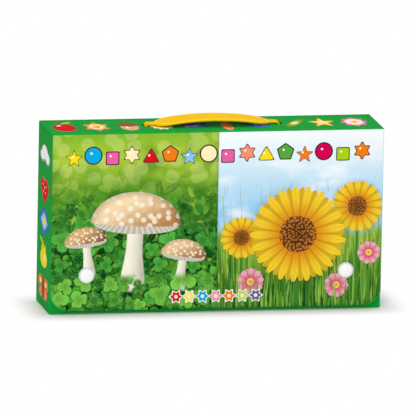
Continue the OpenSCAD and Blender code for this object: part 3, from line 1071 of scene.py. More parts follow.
class Outline(Enum):
    """Simple printed shapes, as the corners n, the skip m and the sharpness k of one polar formula."""

    DISC = (2, 1, 0.0)
    TRIANGLE = (3, 1, 0.97)
    SQUARE = (4, 1, 0.97)
    PENTAGON = (5, 1, 0.97)
    STAR = (5, 3, 0.975)
    FLOWER = (6, 4, 0.66)
    SUN = (11, 6, 0.9)
    PETALS = (8, 5, 0.6)
    LEAF = (2, 1, 0.8)

    def radii(self, angles: np.ndarray) -> np.ndarray:
        """Gives the outline's radius, 1 at the most.

        The radius is cos((2 asin k + pi m) / 2n) / cos((2 asin(k cos(n a)) + pi m) / 2n) at the angle a.

        Args:
            angles: Angles in radians.

        Returns:
            One radius for each angle.
        """
        n, m, k = self.value
        top = math.cos((2.0 * math.asin(k) + math.pi * m) / (2.0 * n))
        below = np.cos((2.0 * np.arcsin(k * np.cos(n * angles)) + math.pi * m) / (2.0 * n))
        radius = top / below
        return radius / radius.max()


class Face(Enum):
    """The faces that carry printed badges, by how two lengths on the face and a height become a point."""

    FRONT = "front"
    TOP = "top"
    LEFT = "left"

    def points(self, across: np.ndarray, up: np.ndarray, height: np.ndarray, level: float) -> np.ndarray:
        """Gives points in the shared frame.

        Args:
            across: Lengths across the face.
            up: Lengths up the face.
            height: Heights over the face.
            level: Where the face lies on its own axis.

        Returns:
            The points, in millimetres.
        """
        if self is Face.FRONT:
            return np.stack([across, level - height, up], axis=-1)
        if self is Face.TOP:
            return np.stack([across, up, level + height], axis=-1)
        return np.stack([level - height, across, up], axis=-1)


@dataclass(frozen=True)
class Badge:
    """One printed shape: where it lies on its face, how big it is, and its colour."""

    outline: Outline
    across: float
    up: float
    radius: float
    colour: Colour
    turn: float = 0.0
    squeeze: float = 1.0
    layer: int = 0


@dataclass
class PrintedBadges:
    """A set of printed shapes on one face of the card, as thin closed films of ink."""

    name: str
    body: str
    slot: str
    face: Face
    level: float
    badges: Sequence[Badge]
    film: float = 0.02
    steps: int = 60
    ring_shares: Tuple[float, ...] = (0.0, 1.0, 1.0, 0.97, 0.0)
    ring_rises: Tuple[float, ...] = (0.0, 0.0, 0.7, 1.0, 1.0)

    def build(self, material: bpy.types.Material) -> bpy.types.Object:
        """Builds every shape at once: rings of each outline, from the middle below to the middle above.

        Args:
            material: The ink's material.

        Returns:
            The piece.
        """
        angles = np.linspace(0.0, FULL_TURN, self.steps, endpoint=False)
        radii = np.stack([badge.outline.radii(angles) for badge in self.badges])
        turn = np.array([badge.turn for badge in self.badges])[:, None]
        size = np.array([badge.radius for badge in self.badges])[:, None]
        squeeze = np.array([badge.squeeze for badge in self.badges])[:, None]
        shape = np.stack([np.cos(angles + turn), squeeze * np.sin(angles + turn)], axis=-1)
        shape = shape * (radii * size)[..., None]
        share = np.array(self.ring_shares)[None, :, None]
        rise = np.array(self.ring_rises)[None, :, None] * self.film
        ring_count = share.size
        lift = np.array([badge.layer for badge in self.badges])[:, None, None] * self.film
        middle = np.array([[badge.across, badge.up] for badge in self.badges])
        across = middle[:, 0, None, None] + shape[:, None, :, 0] * share
        up = middle[:, 1, None, None] + shape[:, None, :, 1] * share
        height = np.broadcast_to(rise + lift, across.shape)
        points = self.face.points(across, up, height, self.level)
        one = grid_quads(ring_count, self.steps, True)
        start = np.arange(len(self.badges))[:, None, None] * (ring_count * self.steps)
        quads = (one[None] + start).reshape(-1, 4)
        colours = np.array([badge.colour for badge in self.badges])
        colours = np.repeat(colours, ring_count * self.steps, axis=0)
        piece = make_piece(self.name, points, quads, material, {"ink": colours}, smooth=False)
        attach(piece, self.body)
        return piece


@dataclass
class PrintSheet:
    """One half of the flap's printed paper: a thin film over the face that runs on round the fold."""

    half: Half
    flap: Block
    fold_z: float
    split: float = 0.4
    board: float = 2.0
    inset: float = 0.3
    corner: float = 16.0
    fold_end: float = 0.6
    lift: float = 0.07
    paper: float = 0.03
    corner_steps: int = 18
    face_steps: int = 42
    rows: int = 40
    fold_steps: int = 9

    def _grid(self, lift: float) -> np.ndarray:
        """Spreads the grid: columns from the free side to the split, rows up the face and round the fold.

        The lower end of a column follows the round corner, z = r - sqrt(r^2 - (r - d)^2) at the distance d
        from the side.

        Args:
            lift: Height of the film over the card.

        Returns:
            Rows by columns of points, in millimetres.
        """
        sign = -1.0 if self.half is Half.LEFT else 1.0
        edge = abs(self.flap.low[0]) - self.inset
        radius = self.corner - self.inset
        bend = radius * (1.0 - np.cos(np.linspace(0.0, QUARTER_TURN, self.corner_steps)))
        away = np.concatenate([bend, np.linspace(radius, edge - sign * self.split, self.face_steps)[1:]])
        foot = self.flap.low[2] + self.inset
        round_part = np.clip(radius - away, 0.0, radius)
        low = foot + radius - np.sqrt(radius ** 2 - round_part ** 2)
        share = np.linspace(0.0, 1.0, self.rows)[:, None]
        face_z = low[None] + share * (self.fold_z - low[None])
        turn = np.linspace(0.0, self.fold_end, self.fold_steps)[1:, None]
        reach = self.board + lift
        every = np.ones_like(away)
        z = np.concatenate([face_z, (self.fold_z + reach * np.sin(turn)) * every])
        back = np.concatenate([np.zeros_like(face_z), reach * (1.0 - np.cos(turn)) * every])
        x = np.broadcast_to(sign * (edge - away), z.shape)
        return np.stack([x, self.flap.low[1] - lift + back, z], axis=-1)

    def build(self, material: bpy.types.Material) -> bpy.types.Object:
        """Builds the film.

        Args:
            material: The print of this half.

        Returns:
            The piece.
        """
        points, quads = closed_film(self._grid(self.lift + self.paper), self._grid(self.lift))
        piece = make_piece(f"print_sheet_{self.half.value}", points, quads, material)
        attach(piece, "flap")
        return piece


def title_badges() -> List[Badge]:
    """Lists the bright outlined shapes in a row along the top of the flap's print, every other one higher.

    Returns:
        The shapes, each with its line, its fill and its glint.
    """
    fills = (Ink.YELLOW, Ink.CYAN, Ink.PINK, Ink.CREAM, Ink.RED, Ink.ORANGE, Ink.SKY, Ink.CREAM, Ink.PINK,
             Ink.SALMON, Ink.YELLOW, Ink.LEAF, Ink.ORANGE, Ink.CRIMSON, Ink.LIME, Ink.ORANGE)
    shapes = (Outline.STAR, Outline.DISC, Outline.SQUARE, Outline.FLOWER, Outline.TRIANGLE, Outline.PENTAGON)
    first, pitch, height, step = -117.0, 15.6, 128.0, 1.2
    radius, line, glint = 7.4, 1.1, 0.9
    glint_left, glint_up = 1.6, 1.8
    badges = []
    for k, fill in enumerate(fills):
        outline = shapes[k % len(shapes)]
        across = first + pitch * k
        up = height + (step if k % 2 else -step)
        turn = math.pi / 4.0 if outline is Outline.SQUARE else QUARTER_TURN
        badges.append(Badge(outline, across, up, radius, Ink.LINE.value, turn, layer=0))
        badges.append(Badge(outline, across, up, radius - line, fill.value, turn, layer=1))
        badges.append(Badge(Outline.DISC, across - glint_left, up + glint_up, glint, Ink.WHITE.value,
                            layer=2))
    return badges


def foot_badges() -> List[Badge]:
    """Lists the row of small white-edged flowers low on the flap's print.

    Returns:
        The shapes.
    """
    fills = (Ink.RED, Ink.YELLOW, Ink.CYAN, Ink.PINK, Ink.ORANGE, Ink.LIME, Ink.VIOLET)
    pitch, height, edge, petals, heart = 10.8, 13.0, 6.0, 4.7, 1.5
    badges = []
    for k, fill in enumerate(fills):
        across = pitch * (k - len(fills) // 2)
        badges.append(Badge(Outline.FLOWER, across, height, edge, Ink.WHITE.value, layer=0))
        badges.append(Badge(Outline.FLOWER, across, height, petals, fill.value, layer=1))
        badges.append(Badge(Outline.DISC, across, height, heart, Ink.CREAM.value, layer=2))
    return badges


@dataclass(frozen=True)
class Mark:
    """One shape of a small printed picture; lengths are shares of the picture's half size."""

    outline: Outline
    fill: Ink
    radius: float
    across: float = 0.0
    up: float = 0.0
    turn: float = 90.0
    tall: float = 1.0


def disc(fill: Ink, radius: float, across: float = 0.0, up: float = 0.0, tall: float = 1.0) -> Mark:
    """Gives a round mark."""
    return Mark(Outline.DISC, fill, radius, across, up, tall=tall)


def leaf(fill: Ink, radius: float, across: float = 0.0, up: float = 0.0, turn: float = 90.0) -> Mark:
    """Gives a pointed mark."""
    return Mark(Outline.LEAF, fill, radius, across, up, turn)


GLINT = leaf(Ink.WHITE, 0.24, -0.3, 0.36, 30.0)
SPRIG = (leaf(Ink.BROWN, 0.36, 0.0, 0.88, 84.0), leaf(Ink.LIME, 0.46, 0.36, 0.94, 24.0))
PIPS = ((-0.3, 0.2), (0.3, 0.2), (0.0, 0.02), (-0.2, -0.3), (0.2, -0.3))


class Picture(Enum):
    """The small pictures on the lid and the side, each a few plain shapes from the lowest to the topmost."""

    APPLE = (disc(Ink.RED, 0.84, 0.0, -0.08), disc(Ink.CRIMSON, 0.5, 0.22, -0.2),
             disc(Ink.RED, 0.52, 0.12, -0.12), GLINT, *SPRIG)
    BLOSSOM = (Mark(Outline.FLOWER, Ink.ORANGE, 1.0), Mark(Outline.FLOWER, Ink.CREAM, 0.66, turn=60.0),
               disc(Ink.ORANGE, 0.26), disc(Ink.YELLOW, 0.13, -0.04, 0.05))
    ACORN = (disc(Ink.TAN, 0.66, 0.0, -0.24, 1.1), leaf(Ink.CREAM, 0.34, -0.2, -0.2),
             disc(Ink.BROWN, 0.8, 0.0, 0.36, 0.56), leaf(Ink.BROWN, 0.34, 0.06, 0.86))
    SUN = (Mark(Outline.SUN, Ink.CREAM, 0.92), disc(Ink.ORANGE, 0.56), disc(Ink.YELLOW, 0.46), GLINT)
    FISH = (Mark(Outline.TRIANGLE, Ink.BLUE, 0.56, 0.7, 0.0, 180.0), disc(Ink.VIOLET, 0.76, -0.2, 0.0, 0.98),
            leaf(Ink.SKY, 0.42, 0.0, -0.3, 20.0), disc(Ink.WHITE, 0.16, -0.56, -0.3),
            disc(Ink.LINE, 0.08, -0.58, -0.3))
    CARROT = (leaf(Ink.SALMON, 1.1, 0.0, -0.3), leaf(Ink.ORANGE, 0.72, 0.08, -0.3),
              leaf(Ink.LEAF, 0.5, -0.24, 0.7, 124.0), leaf(Ink.LIME, 0.5, 0.24, 0.7, 56.0))
    BALL = (disc(Ink.BLUE, 0.9), Mark(Outline.STAR, Ink.SKY, 0.62), disc(Ink.WHITE, 0.2), GLINT)
    PEAS = (leaf(Ink.OLIVE, 1.06, 0.36, 0.0, 45.0), disc(Ink.LIME, 0.22, 0.06, -0.3),
            disc(Ink.CREAM, 0.26, 0.36), disc(Ink.LIME, 0.22, 0.66, 0.3))
    STAR = (Mark(Outline.STAR, Ink.ORANGE, 1.06), Mark(Outline.STAR, Ink.YELLOW, 0.9),
            Mark(Outline.STAR, Ink.CREAM, 0.36))
    DAISY = (Mark(Outline.PETALS, Ink.PINK, 1.0), Mark(Outline.PETALS, Ink.WHITE, 0.7, turn=68.0),
             disc(Ink.YELLOW, 0.26), disc(Ink.ORANGE, 0.12, 0.04, -0.04))
    BUTTERFLY = (disc(Ink.ORANGE, 0.5, -0.46, 0.34), disc(Ink.ORANGE, 0.5, 0.46, 0.34),
                 disc(Ink.SALMON, 0.38, -0.4, -0.42), disc(Ink.SALMON, 0.38, 0.4, -0.42),
                 disc(Ink.CREAM, 0.2, -0.5, 0.38), disc(Ink.CREAM, 0.2, 0.5, 0.38), leaf(Ink.BROWN, 0.84))
    PEAR = (disc(Ink.YELLOW, 0.66, 0.0, -0.3), disc(Ink.YELLOW, 0.42, 0.0, 0.34, 1.3),
            leaf(Ink.CREAM, 0.36, -0.24, -0.22), *SPRIG)
    KITE = (Mark(Outline.SQUARE, Ink.BLUE, 1.0, tall=1.1), Mark(Outline.SQUARE, Ink.SKY, 0.62, tall=1.1),
            Mark(Outline.STAR, Ink.YELLOW, 0.34))
    BERRY = (disc(Ink.RED, 0.78, 0.0, 0.06), Mark(Outline.TRIANGLE, Ink.RED, 0.9, 0.0, -0.3, 270.0),
             *(leaf(Ink.CREAM, 0.11, x, y) for x, y in PIPS),
             Mark(Outline.STAR, Ink.LEAF, 0.5, 0.0, 0.74, tall=0.6))
    CLOUD = (disc(Ink.GREY, 0.5, -0.46, -0.16), disc(Ink.GREY, 0.46, 0.5, -0.2),
             disc(Ink.GREY, 0.62, 0.04, 0.14), disc(Ink.WHITE, 0.4, -0.46, -0.12),
             disc(Ink.WHITE, 0.36, 0.5, -0.16), disc(Ink.WHITE, 0.52, 0.04, 0.18))

    def badges(self, across: float, up: float, half: float, stretch: float) -> List[Badge]:
        """Places the picture on its face.

        Args:
            across: Its middle across the face.
            up: Its middle up the face.
            half: Its half size across.
            stretch: Its size up as a share of that across.

        Returns:
            Its shapes, in layers from the lowest.
        """
        high = half * stretch
        return [Badge(mark.outline, across + half * mark.across, up + high * mark.up, half * mark.radius,
                      mark.fill.value, math.radians(mark.turn), stretch * mark.tall, layer)
                for layer, mark in enumerate(self.value)]


def lid_badges(y_mid: float) -> List[Badge]:
    """Lists the row of ten small pictures along the lid.

    Args:
        y_mid: The middle of the lid.

    Returns:
        The shapes.
    """
    row = (Picture.APPLE, Picture.BLOSSOM, Picture.ACORN, Picture.SUN, Picture.FISH, Picture.CARROT,
           Picture.BALL, Picture.PEAS, Picture.STAR, Picture.DAISY)
    first, pitch, half, stretch, forward = -120.2, 26.2, 11.0, 1.6, 2.0
    return [badge for k, picture in enumerate(row)
            for badge in picture.badges(first + pitch * k, y_mid - forward, half, stretch)]


def side_badges(y_mid: float) -> List[Badge]:
    """Lists the column of five small pictures up the left side, from the lowest.

    Args:
        y_mid: The middle of the side.

    Returns:
        The shapes.
    """
    column = (Picture.BUTTERFLY, Picture.PEAR, Picture.KITE, Picture.BERRY, Picture.CLOUD)
    first, pitch, half, stretch = 16.7, 27.0, 22.0, 0.49
    return [badge for k, picture in enumerate(column)
            for badge in picture.badges(y_mid, first + pitch * k, half, stretch)]


@dataclass
class PaperFold:
    """The wrapping paper where it bends over the gap between two boards, as a thin closed strip."""

    name: str
    bodies: Tuple[str, str]
    middle: Tuple[float, float]
    forward: float
    half_width: float
    corner: float = 2.0
    reach: float = 5.0
    lift: float = 0.015
    paper: float = 0.05
    bend_steps: int = 15
    run_steps: int = 5
    across_steps: int = 46

    def build(self, material: bpy.types.Material) -> bpy.types.Object:
        """Carries the bent section along the width: a straight run, a quarter circle, a straight run.

        Args:
            material: The card's material.

        Returns:
            The piece, baked in place in its rest shape.
        """
        turn = np.linspace(0.0, QUARTER_TURN, self.bend_steps)
        bend = np.stack([self.forward * np.cos(turn), np.sin(turn)], axis=-1)
        run = np.linspace(self.reach, 0.0, self.run_steps)[:-1]
        still = np.zeros_like(run)
        outward = np.concatenate([np.tile([self.forward, 0.0], (run.size, 1)), bend,
                                  np.tile([0.0, 1.0], (run.size, 1))])
        wall = np.stack([still, -run], axis=-1)
        top = np.stack([-self.forward * run[::-1], still], axis=-1)
        slide = np.concatenate([wall, np.zeros_like(bend), top])
        base = np.array(self.middle) + slide + outward * self.corner
        loop = np.concatenate([base + outward * (self.lift + self.paper), (base + outward * self.lift)[::-1]])
        across = np.linspace(-self.half_width, self.half_width, self.across_steps)
        count = len(loop)
        points = np.empty((len(across), count, 3))
        points[..., 0] = across[:, None]
        points[..., 1:] = loop[None]
        quads = grid_quads(len(across), count, True)
        half = count // 2
        first = np.arange(half - 1)
        cap = np.stack([first, first + 1, count - 2 - first, count - 1 - first], axis=-1)
        caps = np.concatenate([cap, cap + (len(across) - 1) * count])
        piece = make_piece(self.name, points, np.concatenate([quads, caps]), material)
        wall_point = (0.0, self.middle[0] + self.forward * self.corner, self.middle[1])
        lid_point = (0.0, self.middle[0], self.middle[1] + self.corner)
        ends = [tuple(v * MM for v in point) for point in (wall_point, lid_point)]
        if self.bodies[0] == "lid":
            ends.reverse()
        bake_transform(piece)
        return piece


@dataclass
class StrapHandle:
    """The moulded strap: a low arch with beaded edges, round shoulders, necks and cross bars."""

    y_mid: float
    lid_top: float
    half_span: float = 54.0
    rise: float = 5.8
    half_width: float = 13.25
    thick: float = 2.2
    bead: float = 0.3
    bead_width: float = 1.8
    bead_margin: float = 0.5
    bead_ease: Tuple[float, float] = (0.8, 0.7)
    highlight_start: float = 0.6
    shoulder_x: float = 33.0
    half_neck: float = 4.5
    neck_flat: float = 5.0
    hollow: float = 30.0
    clear: float = 0.3
    bend: float = 2.0
    bar_top: float = 139.0
    bar_size: Triple = (5.0, 18.0, 2.4)
    sunk: float = 0.8
    neck_power: int = 10
    path_steps: Tuple[int, ...] = (8, 12, 9, 15, 61)
    edge_steps: int = 13
    flat_steps: int = 41
    bar_steps: Tuple[int, int] = (25, 64)

    def _path(self) -> Tuple[np.ndarray, np.ndarray, np.ndarray]:
        """Follows the strap's middle line: upright neck, bend, flat neck, hollow and long arc, and back.

        Returns:
            The line's x, its z and the angle of its outward normal from upright.
        """
        neck_up = self.clear + self.thick / 2.0
        neck_z = self.lid_top + neck_up
        bend_x = self.half_span - self.bend
        hollow_x = bend_x - self.neck_flat
        tilt = 2.0 * math.atan((self.rise - neck_up) / hollow_x)
        radius = hollow_x / math.sin(tilt) - self.hollow
        upright_steps, bend_steps, flat_steps, hollow_steps, arc_steps = self.path_steps
        upright = np.linspace(self.bar_top - self.sunk, neck_z - self.bend, upright_steps)[:-1]
        bend = np.linspace(QUARTER_TURN, 0.0, bend_steps)[:-1]
        flat = np.linspace(bend_x, hollow_x, flat_steps)[:-1]
        hollow = np.linspace(0.0, tilt, hollow_steps)[:-1]
        arc = np.linspace(tilt, 0.0, arc_steps)
        x = np.concatenate([np.full_like(upright, self.half_span), bend_x + self.bend * np.sin(bend), flat,
                            hollow_x - self.hollow * np.sin(hollow), radius * np.sin(arc)])
        z = np.concatenate([upright, neck_z - self.bend + self.bend * np.cos(bend),
                            np.full_like(flat, neck_z), neck_z + self.hollow * (1.0 - np.cos(hollow)),
                            self.lid_top + self.rise - radius + radius * np.cos(arc)])
        angle = np.concatenate([np.full_like(upright, QUARTER_TURN), bend, np.zeros_like(flat), hollow, arc])
        return (np.concatenate([-x, x[-2::-1]]), np.concatenate([z, z[-2::-1]]),
                np.concatenate([-angle, angle[-2::-1]]))

    def _half_widths(self, x: np.ndarray) -> np.ndarray:
        """Gives the strap's half width: straight, a circle to 45 degrees, its tangent and the neck's.

        The broad part and the neck meet as (broad^p + neck^p)^(1/p), with a high power p.

        Args:
            x: Places along the strap.

        Returns:
            The half widths.
        """
        past = np.clip(np.abs(x) - self.shoulder_x, 0.0, None)
        reach = self.half_width * math.sqrt(0.5)
        round_end = np.sqrt(self.half_width ** 2 - np.minimum(past, reach) ** 2)
        taper = np.clip(2.0 * reach - past, 0.0, None)
        broad = np.where(past < reach, round_end, taper)
        joined = (broad ** self.neck_power + self.half_neck ** self.neck_power) ** (1.0 / self.neck_power)
        return np.minimum(joined, self.half_width)

    def _bead(self, x: np.ndarray, across: np.ndarray) -> np.ndarray:
        """Gives the share of the bead's height.

        It is full near the outline of the broad part, which is a bar with round ends, and falls to none in
        the middle and on the necks.

        Args:
            x: Places along the strap.
            across: Places across it.

        Returns:
            The shares, eased at both sides.
        """
        past = np.clip(np.abs(x) - self.shoulder_x, 0.0, None)
        inside = self.half_width - np.hypot(past, across)
        within, beyond = self.bead_ease
        from_middle = np.clip((self.bead_width + self.bead_margin - inside) / within, 0.0, 1.0)
        share = from_middle * np.clip(1.0 + inside / beyond, 0.0, 1.0)
        return share * share * (3.0 - 2.0 * share)

    def _strap(self) -> Tuple[np.ndarray, np.ndarray]:
        """Carries a flat section with half-round edges and a beaded rim along the path.

        The section runs round the right edge, over the top, round the left edge and back underneath; its
        edges have the radius of half the thickness there.

        Returns:
            The rings of points and the share of the painted highlight on the beads' upper sides.
        """
        x, z, angle = self._path()
        width = self._half_widths(x)
        bend = np.linspace(-QUARTER_TURN, QUARTER_TURN, self.edge_steps)[:-1]
        level = np.cos(np.linspace(0.0, math.pi, self.flat_steps))[:-1]
        none, one = np.zeros_like(level), np.ones_like(bend)
        flat = np.concatenate([one, level, -one, -level])
        cap = np.concatenate([np.cos(bend), none, -np.cos(bend), none])
        high = np.concatenate([np.sin(bend), none + 1.0, -np.sin(bend), none - 1.0])
        thin = self.thick / 2.0 - self.bead
        edge = (thin + self.bead * self._bead(x, width))[:, None]
        across = (width[:, None] - edge) * flat + edge * cap
        share = self._bead(x[:, None], across)
        off = (thin + self.bead * share) * high
        points = np.stack([x[:, None] + off * np.sin(angle)[:, None], self.y_mid + across,
                           z[:, None] + off * np.cos(angle)[:, None]], axis=-1)
        # Painted highlight: the beads' upper sides take the lighter amber, standing for light catching the
        # rim.
        mark = share * np.clip(high + self.highlight_start, 0.0, 1.0)
        ends = np.repeat(points[[0, -1]].mean(axis=1, keepdims=True), points.shape[1], axis=1)
        rings = np.concatenate([ends[:1], points, ends[1:]])
        return rings, np.concatenate([mark[:1], mark, mark[-1:]])

    def _bar(self, side: float) -> np.ndarray:
        """Shapes a cross bar: a superellipse section that closes to a rounded end at both ends.

        Args:
            side: -1 for the left bar, 1 for the right.

        Returns:
            The rings of points.
        """
        along = np.sin(np.linspace(-QUARTER_TURN, QUARTER_TURN, self.bar_steps[0]))
        end_power, end_root, corner_power = 7, 0.35, 0.4
        scale = np.clip(1.0 - np.abs(along) ** end_power, 0.0, 1.0) ** end_root
        turn = np.linspace(0.0, FULL_TURN, self.bar_steps[1], endpoint=False)
        wide = np.sign(np.cos(turn)) * np.abs(np.cos(turn)) ** corner_power
        high = np.sign(np.sin(turn)) * np.abs(np.sin(turn)) ** corner_power
        half_x, half_y, half_z = (size / 2.0 for size in self.bar_size)
        return np.stack([side * self.half_span + half_x * scale[:, None] * wide,
                         np.broadcast_to(self.y_mid + half_y * along[:, None], self.bar_steps),
                         self.bar_top - half_z + half_z * scale[:, None] * high], axis=-1)

    def build(self, material: bpy.types.Material) -> bpy.types.Object:
        """Builds the strap and its bars as one piece that stands for the CAD node.

        Args:
            material: The strap's plastic.

        Returns:
            The piece.
        """
        strap, mark = self._strap()
        parts = [strap, self._bar(-1.0), self._bar(1.0)]
        counts = [part.shape[0] * part.shape[1] for part in parts]
        # The strap's painted highlight share; the bars have none.
        marks = np.concatenate([mark.ravel(), np.zeros(sum(counts[1:]))])
        starts = np.cumsum([0] + counts)
        quads = np.concatenate([grid_quads(*part.shape[:2], True) + start
                                for part, start in zip(parts, starts)])
        points = np.concatenate([part.reshape(-1, 3) for part in parts])
        piece = make_piece("strap_handle", points, quads, material, {"rim": marks})
        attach(piece, "handle")
        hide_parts("handle")
        return piece


def dress(node: str, material: bpy.types.Material) -> None:
    """Gives a CAD node its finish.

    Args:
        node: The node's name.
        material: Its material.
    """
    held = frame["nodes"][node].data.materials
    held.clear()
    held.append(material)
    LOG.info("%s wears %s", node, material.name)


@dataclass
class CarryCase:
    """The wrapped boards of the case with their print and folds."""

    groups: PrintGroups
    body: Block
    lid: Block
    flap: Block
    board: float = 2.0
    turn_in: float = 12.0
    skin: float = 0.3
    slit: Tuple[float, float] = (52.3, 56.8)
    slit_half: float = 8.0
    slit_inset: Tuple[float, float] = (0.1, 0.05)
    fold_inset: float = 1.4
    front_reach: float = 2.4
    ink_lift: float = 0.1
    side_forward: float = 1.0

    def middle(self) -> float:
        """Gives the middle of the case from front to back."""
        return (self.flap.low[1] + self.body.high[1]) / 2.0

    def _card(self, name: str, outer: Block, inner: Optional[Block] = None,
              slit: Optional[Block] = None) -> bpy.types.Material:
        """Makes the green card of one board."""
        return CardFinish(name, Ink.GREEN.value).material(self.groups, outer, inner, slit)

    def dress_boards(self) -> None:
        """Dresses the three boards, green outside and lined inside within the turn-in."""
        body, lid, flap = self.body, self.lid, self.flap
        wall, edge, skin = self.board - self.skin, self.turn_in, self.skin
        room = body.shrunk(wall, wall, wall)
        room = Block(room.low, (room.high[0], room.high[1], body.high[2] - edge))
        under = Block((lid.low[0] + edge, lid.low[1] + edge, lid.low[2] - skin),
                      (lid.high[0] - edge, lid.high[1] - edge, lid.low[2] + skin))
        behind = Block((flap.low[0] + edge, flap.high[1] - skin, flap.low[2] + edge),
                       (flap.high[0] - edge, flap.high[1] + skin, flap.high[2] - edge))
        # The slit's walls take the cut colour: raw board darkened with painted shade.
        slit = Block((self.slit[0], -self.slit_half, lid.low[2] + self.slit_inset[0]),
                     (self.slit[1], self.slit_half, lid.high[2] - self.slit_inset[1]))
        dress("case_body", self._card("case_card", body, room))
        dress("lid_panel", self._card("lid_card", lid, under, slit))
        dress("front_flap", self._card("flap_card", flap, behind))

    def add_print(self) -> None:
        """Lays the two printed films on the flap."""
        picture = MeadowPicture(self.groups)
        for half in Half:
            PrintSheet(half, self.flap, self.lid.high[2] - self.board).build(picture.material(half))

    def add_folds(self) -> None:
        """Bends the wrapping paper over the two folds."""
        card = self._card("fold_card", Block(self.body.low, self.lid.high))
        half_width = self.lid.high[0] - self.fold_inset
        fold_z = self.lid.high[2] - self.board
        back = (self.body.high[1] - self.board, fold_z)
        front = (self.flap.low[1] + self.board, fold_z)
        folds = (
            PaperFold("back_fold", ("case", "lid"), back, 1.0, half_width),
            PaperFold("front_fold", ("lid", "flap"), front, -1.0, half_width, reach=self.front_reach),
        )
        for fold in folds:
            fold.build(card)

    def add_shapes(self) -> None:
        """Prints the rows of small shapes on the flap, the lid and the left side."""
        y_mid, face_y = self.middle(), self.flap.low[1] - self.ink_lift
        top, left = self.lid.high[2], self.body.low[0]
        side = side_badges(y_mid - self.side_forward)
        print_ink = InkFinish("badge_ink").material(self.groups)
        rows = (
            PrintedBadges("title_shapes", "flap", "flap_print", Face.FRONT, face_y, title_badges()),
            PrintedBadges("foot_shapes", "flap", "flap_print", Face.FRONT, face_y, foot_badges()),
            PrintedBadges("lid_shapes", "lid", "case_card", Face.TOP, top, lid_badges(y_mid)),
            PrintedBadges("side_shapes", "case", "case_card", Face.LEFT, left, side),
        )
        for row in rows:
            row.build(print_ink)

    def build(self) -> None:
        """Dresses the boards and adds the flap's print, the two folds and the printed shapes."""
        self.dress_boards()
        self.add_print()
        self.add_folds()
        self.add_shapes()


@dataclass
class PressStuds:
    """The two white press studs: caps, sockets, studs and back caps."""

    parts: Tuple[str, ...] = ("cap", "socket", "stud", "back_cap")

    def build(self) -> None:
        """Dresses the eight nodes, with a painted grey shade in a ring round the axis on either side, standing
        for the domes' shading.
        """
        cap = Block.of("snap_cap_right")
        axis = ((cap.low[0] + cap.high[0]) / 2.0, (cap.low[2] + cap.high[2]) / 2.0)
        # The grey rim tone is painted shade round the caps' domes.
        finish = PlasticFinish("snap_plastic", ink(252, 252, 251), ink(206, 209, 212), 0.3, stud=axis)
        white = finish.material(PaintedRim.STUD)
        for part in self.parts:
            for side in ("left", "right"):
                dress(f"snap_{part}_{side}", white)


@dataclass
class BookSet:
    """The ten board books: printed covers and blocks of leaves."""

    groups: PrintGroups
    count: int = 10

    def build(self) -> None:
        """Dresses the covers in the record's colours and the leaves in cut board."""
        leaves = LeafFinish().material()
        colours = {row["slot"]: row["base_color"] for row in frame["record"]["materials"]}
        slots = {row["node"]: row["material_slot"] for row in frame["record"]["subparts"]}
        for k in range(self.count):
            cover = f"book_{k + 1}_cover"
            seen = [round(255 * part) for part in colours[slots[cover]]]
            finish = CardFinish(slots[cover], ink(*seen), worn=Ink.CREAM.value)
            dress(cover, finish.material(self.groups, Block.of(cover)))
            dress(f"book_{k + 1}_pages", leaves)


@dataclass(frozen=True)
class Lamp:
    """A soft square lamp: where it stands in metres, its side and its power in watts."""

    name: str
    place: Triple
    side: float
    power: float

    def build(self, aim: Vector) -> None:
        """Hangs the lamp and turns it to the point.

        Args:
            aim: The point that it lights.
        """
        light = bpy.data.lights.new(self.name, "AREA")
        light.shape = "SQUARE"
        light.size = self.side
        light.energy = self.power
        lamp = bpy.data.objects.new(self.name, light)
        lamp.location = self.place
        lamp.rotation_euler = (aim - Vector(self.place)).to_track_quat("-Z", "Y").to_euler()
        bpy.context.scene.collection.objects.link(lamp)


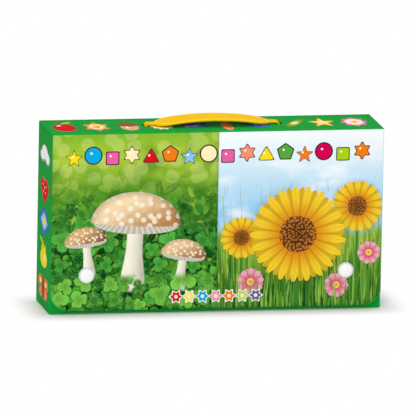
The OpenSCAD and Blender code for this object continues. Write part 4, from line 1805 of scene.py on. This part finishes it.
@dataclass
class Studio:
    """The plain white floor, the soft light and the camera at the photograph's angle."""

    azimuth: float = -11.15
    elevation: float = 11.45
    roll: float = 1.08
    distance: float = 12.0
    focal_px: float = 15000.0
    sensor_mm: float = 36.0
    far: float = 60.0
    aim: Triple = (-0.0019, 0.0, 0.0788)
    world_level: float = 0.46
    lit_point: Triple = (0.0, 0.0, 0.08)
    floor_half: float = 6.0
    floor_drop: float = 0.2
    floor_steps: int = 9
    case_half: Tuple[float, float] = (float(CAD_BOX[1][0]) / MM, float(CAD_BOX[1][1]) / MM)
    fade: float = 28.0

    def _camera(self) -> None:
        """Sets the camera: back is the way from the aim to the lens, and the roll turns right and up."""
        a, e, r = (math.radians(v) for v in (self.azimuth, self.elevation, self.roll))
        back = Vector((math.sin(a) * math.cos(e), -math.cos(a) * math.cos(e), math.sin(e)))
        right = Vector((0.0, 0.0, 1.0)).cross(back).normalized()
        up = back.cross(right)
        turned = right * math.cos(r) + up * math.sin(r)
        above = up * math.cos(r) - right * math.sin(r)
        data = bpy.data.cameras.new("camera")
        data.sensor_width = self.sensor_mm
        data.sensor_fit = "HORIZONTAL"
        data.lens = self.focal_px * data.sensor_width / PX_ACROSS
        data.clip_end = self.far
        camera = bpy.data.objects.new("camera", data)
        axes = Matrix((turned, above, back)).transposed().to_4x4()
        camera.matrix_world = Matrix.Translation(Vector(self.aim) + back * self.distance) @ axes
        bpy.context.scene.collection.objects.link(camera)
        bpy.context.scene.camera = camera

    def _floor(self) -> None:
        """Lays the floor, a flat grid of points just under the part, plain white off the case."""
        side = np.linspace(-self.floor_half, self.floor_half, self.floor_steps) / MM
        across, along = np.meshgrid(side, side)
        points = np.stack([across, along, np.full_like(across, -self.floor_drop)], axis=-1)
        material, g, shader = new_material("floor_white")
        place = place_in_mm(g)
        tone = g.affine(g.noise(place, 0.002, 1.0), 0.01, 0.985)
        x, y, _ = g.split(place)
        off = [g.math("MAXIMUM", g.math("SUBTRACT", g.math("ABSOLUTE", part), half), 0.0)
               for part, half in zip((x, y), self.case_half)]
        plain = g.times(g.smooth(g.length(g.join(*off)), 0.0, self.fade), shown_rays(g))
        kept = g.times(tone, g.math("SUBTRACT", 1.0, plain))
        surface(g, shader, g.join(kept, kept, kept), 1.0, 0.0)
        g.feed(shader.inputs["Emission Strength"], plain)
        shader.inputs["Emission Color"].default_value = (1.0, 1.0, 1.0, 1.0)
        quads = grid_quads(self.floor_steps, self.floor_steps, False)
        floor = make_piece("floor", points, quads, material)
        if floor.data.polygons[0].normal.z < 0.0:
            floor.data.flip_normals()

    def _world(self) -> None:
        """Sets an even white world, full white where it shows and lower as a light."""
        world = bpy.data.worlds.new("studio")
        bpy.context.scene.world = world
        world.use_nodes = True
        world.node_tree.nodes.clear()
        g = Graph(world.node_tree)
        level = g.affine(shown_rays(g), 1.0 - self.world_level, self.world_level)
        back = g.add("ShaderNodeBackground", {"Color": (1.0, 1.0, 1.0, 1.0), "Strength": level})
        g.add("ShaderNodeOutputWorld", {"Surface": back.outputs[0]})

    def build(self) -> None:
        """Builds the floor, the world, the lamps and the camera."""
        bpy.context.scene.view_settings.view_transform = "Standard"
        self._camera()
        self._floor()
        self._world()
        aim = Vector(self.lit_point)
        Lamp("key", place=(-0.8, -2.2, 1.0), side=0.6, power=22.0).build(aim)
        Lamp("top", place=(0.1, 0.3, 2.2), side=1.6, power=20.0).build(aim)


def main() -> None:
    """Builds the case, the studs, the books, the strap and the studio, in that order."""
    logging.basicConfig(level=logging.INFO, format="%(name)s: %(message)s")
    groups = PrintGroups()
    case = CarryCase(groups, Block.of("case_body"), Block.of("lid_panel"), Block.of("front_flap"))
    case.build()
    PressStuds().build()
    BookSet(groups).build()
    # The strap's lighter amber is a painted highlight on its beads.
    amber = PlasticFinish("strap_plastic", Ink.AMBER.value, Ink.AMBER_HIGHLIGHT.value).material(PaintedRim.MESH)
    StrapHandle(case.middle(), case.lid.high[2]).build(amber)
    Studio().build()


if __name__ == "__main__":
    main()
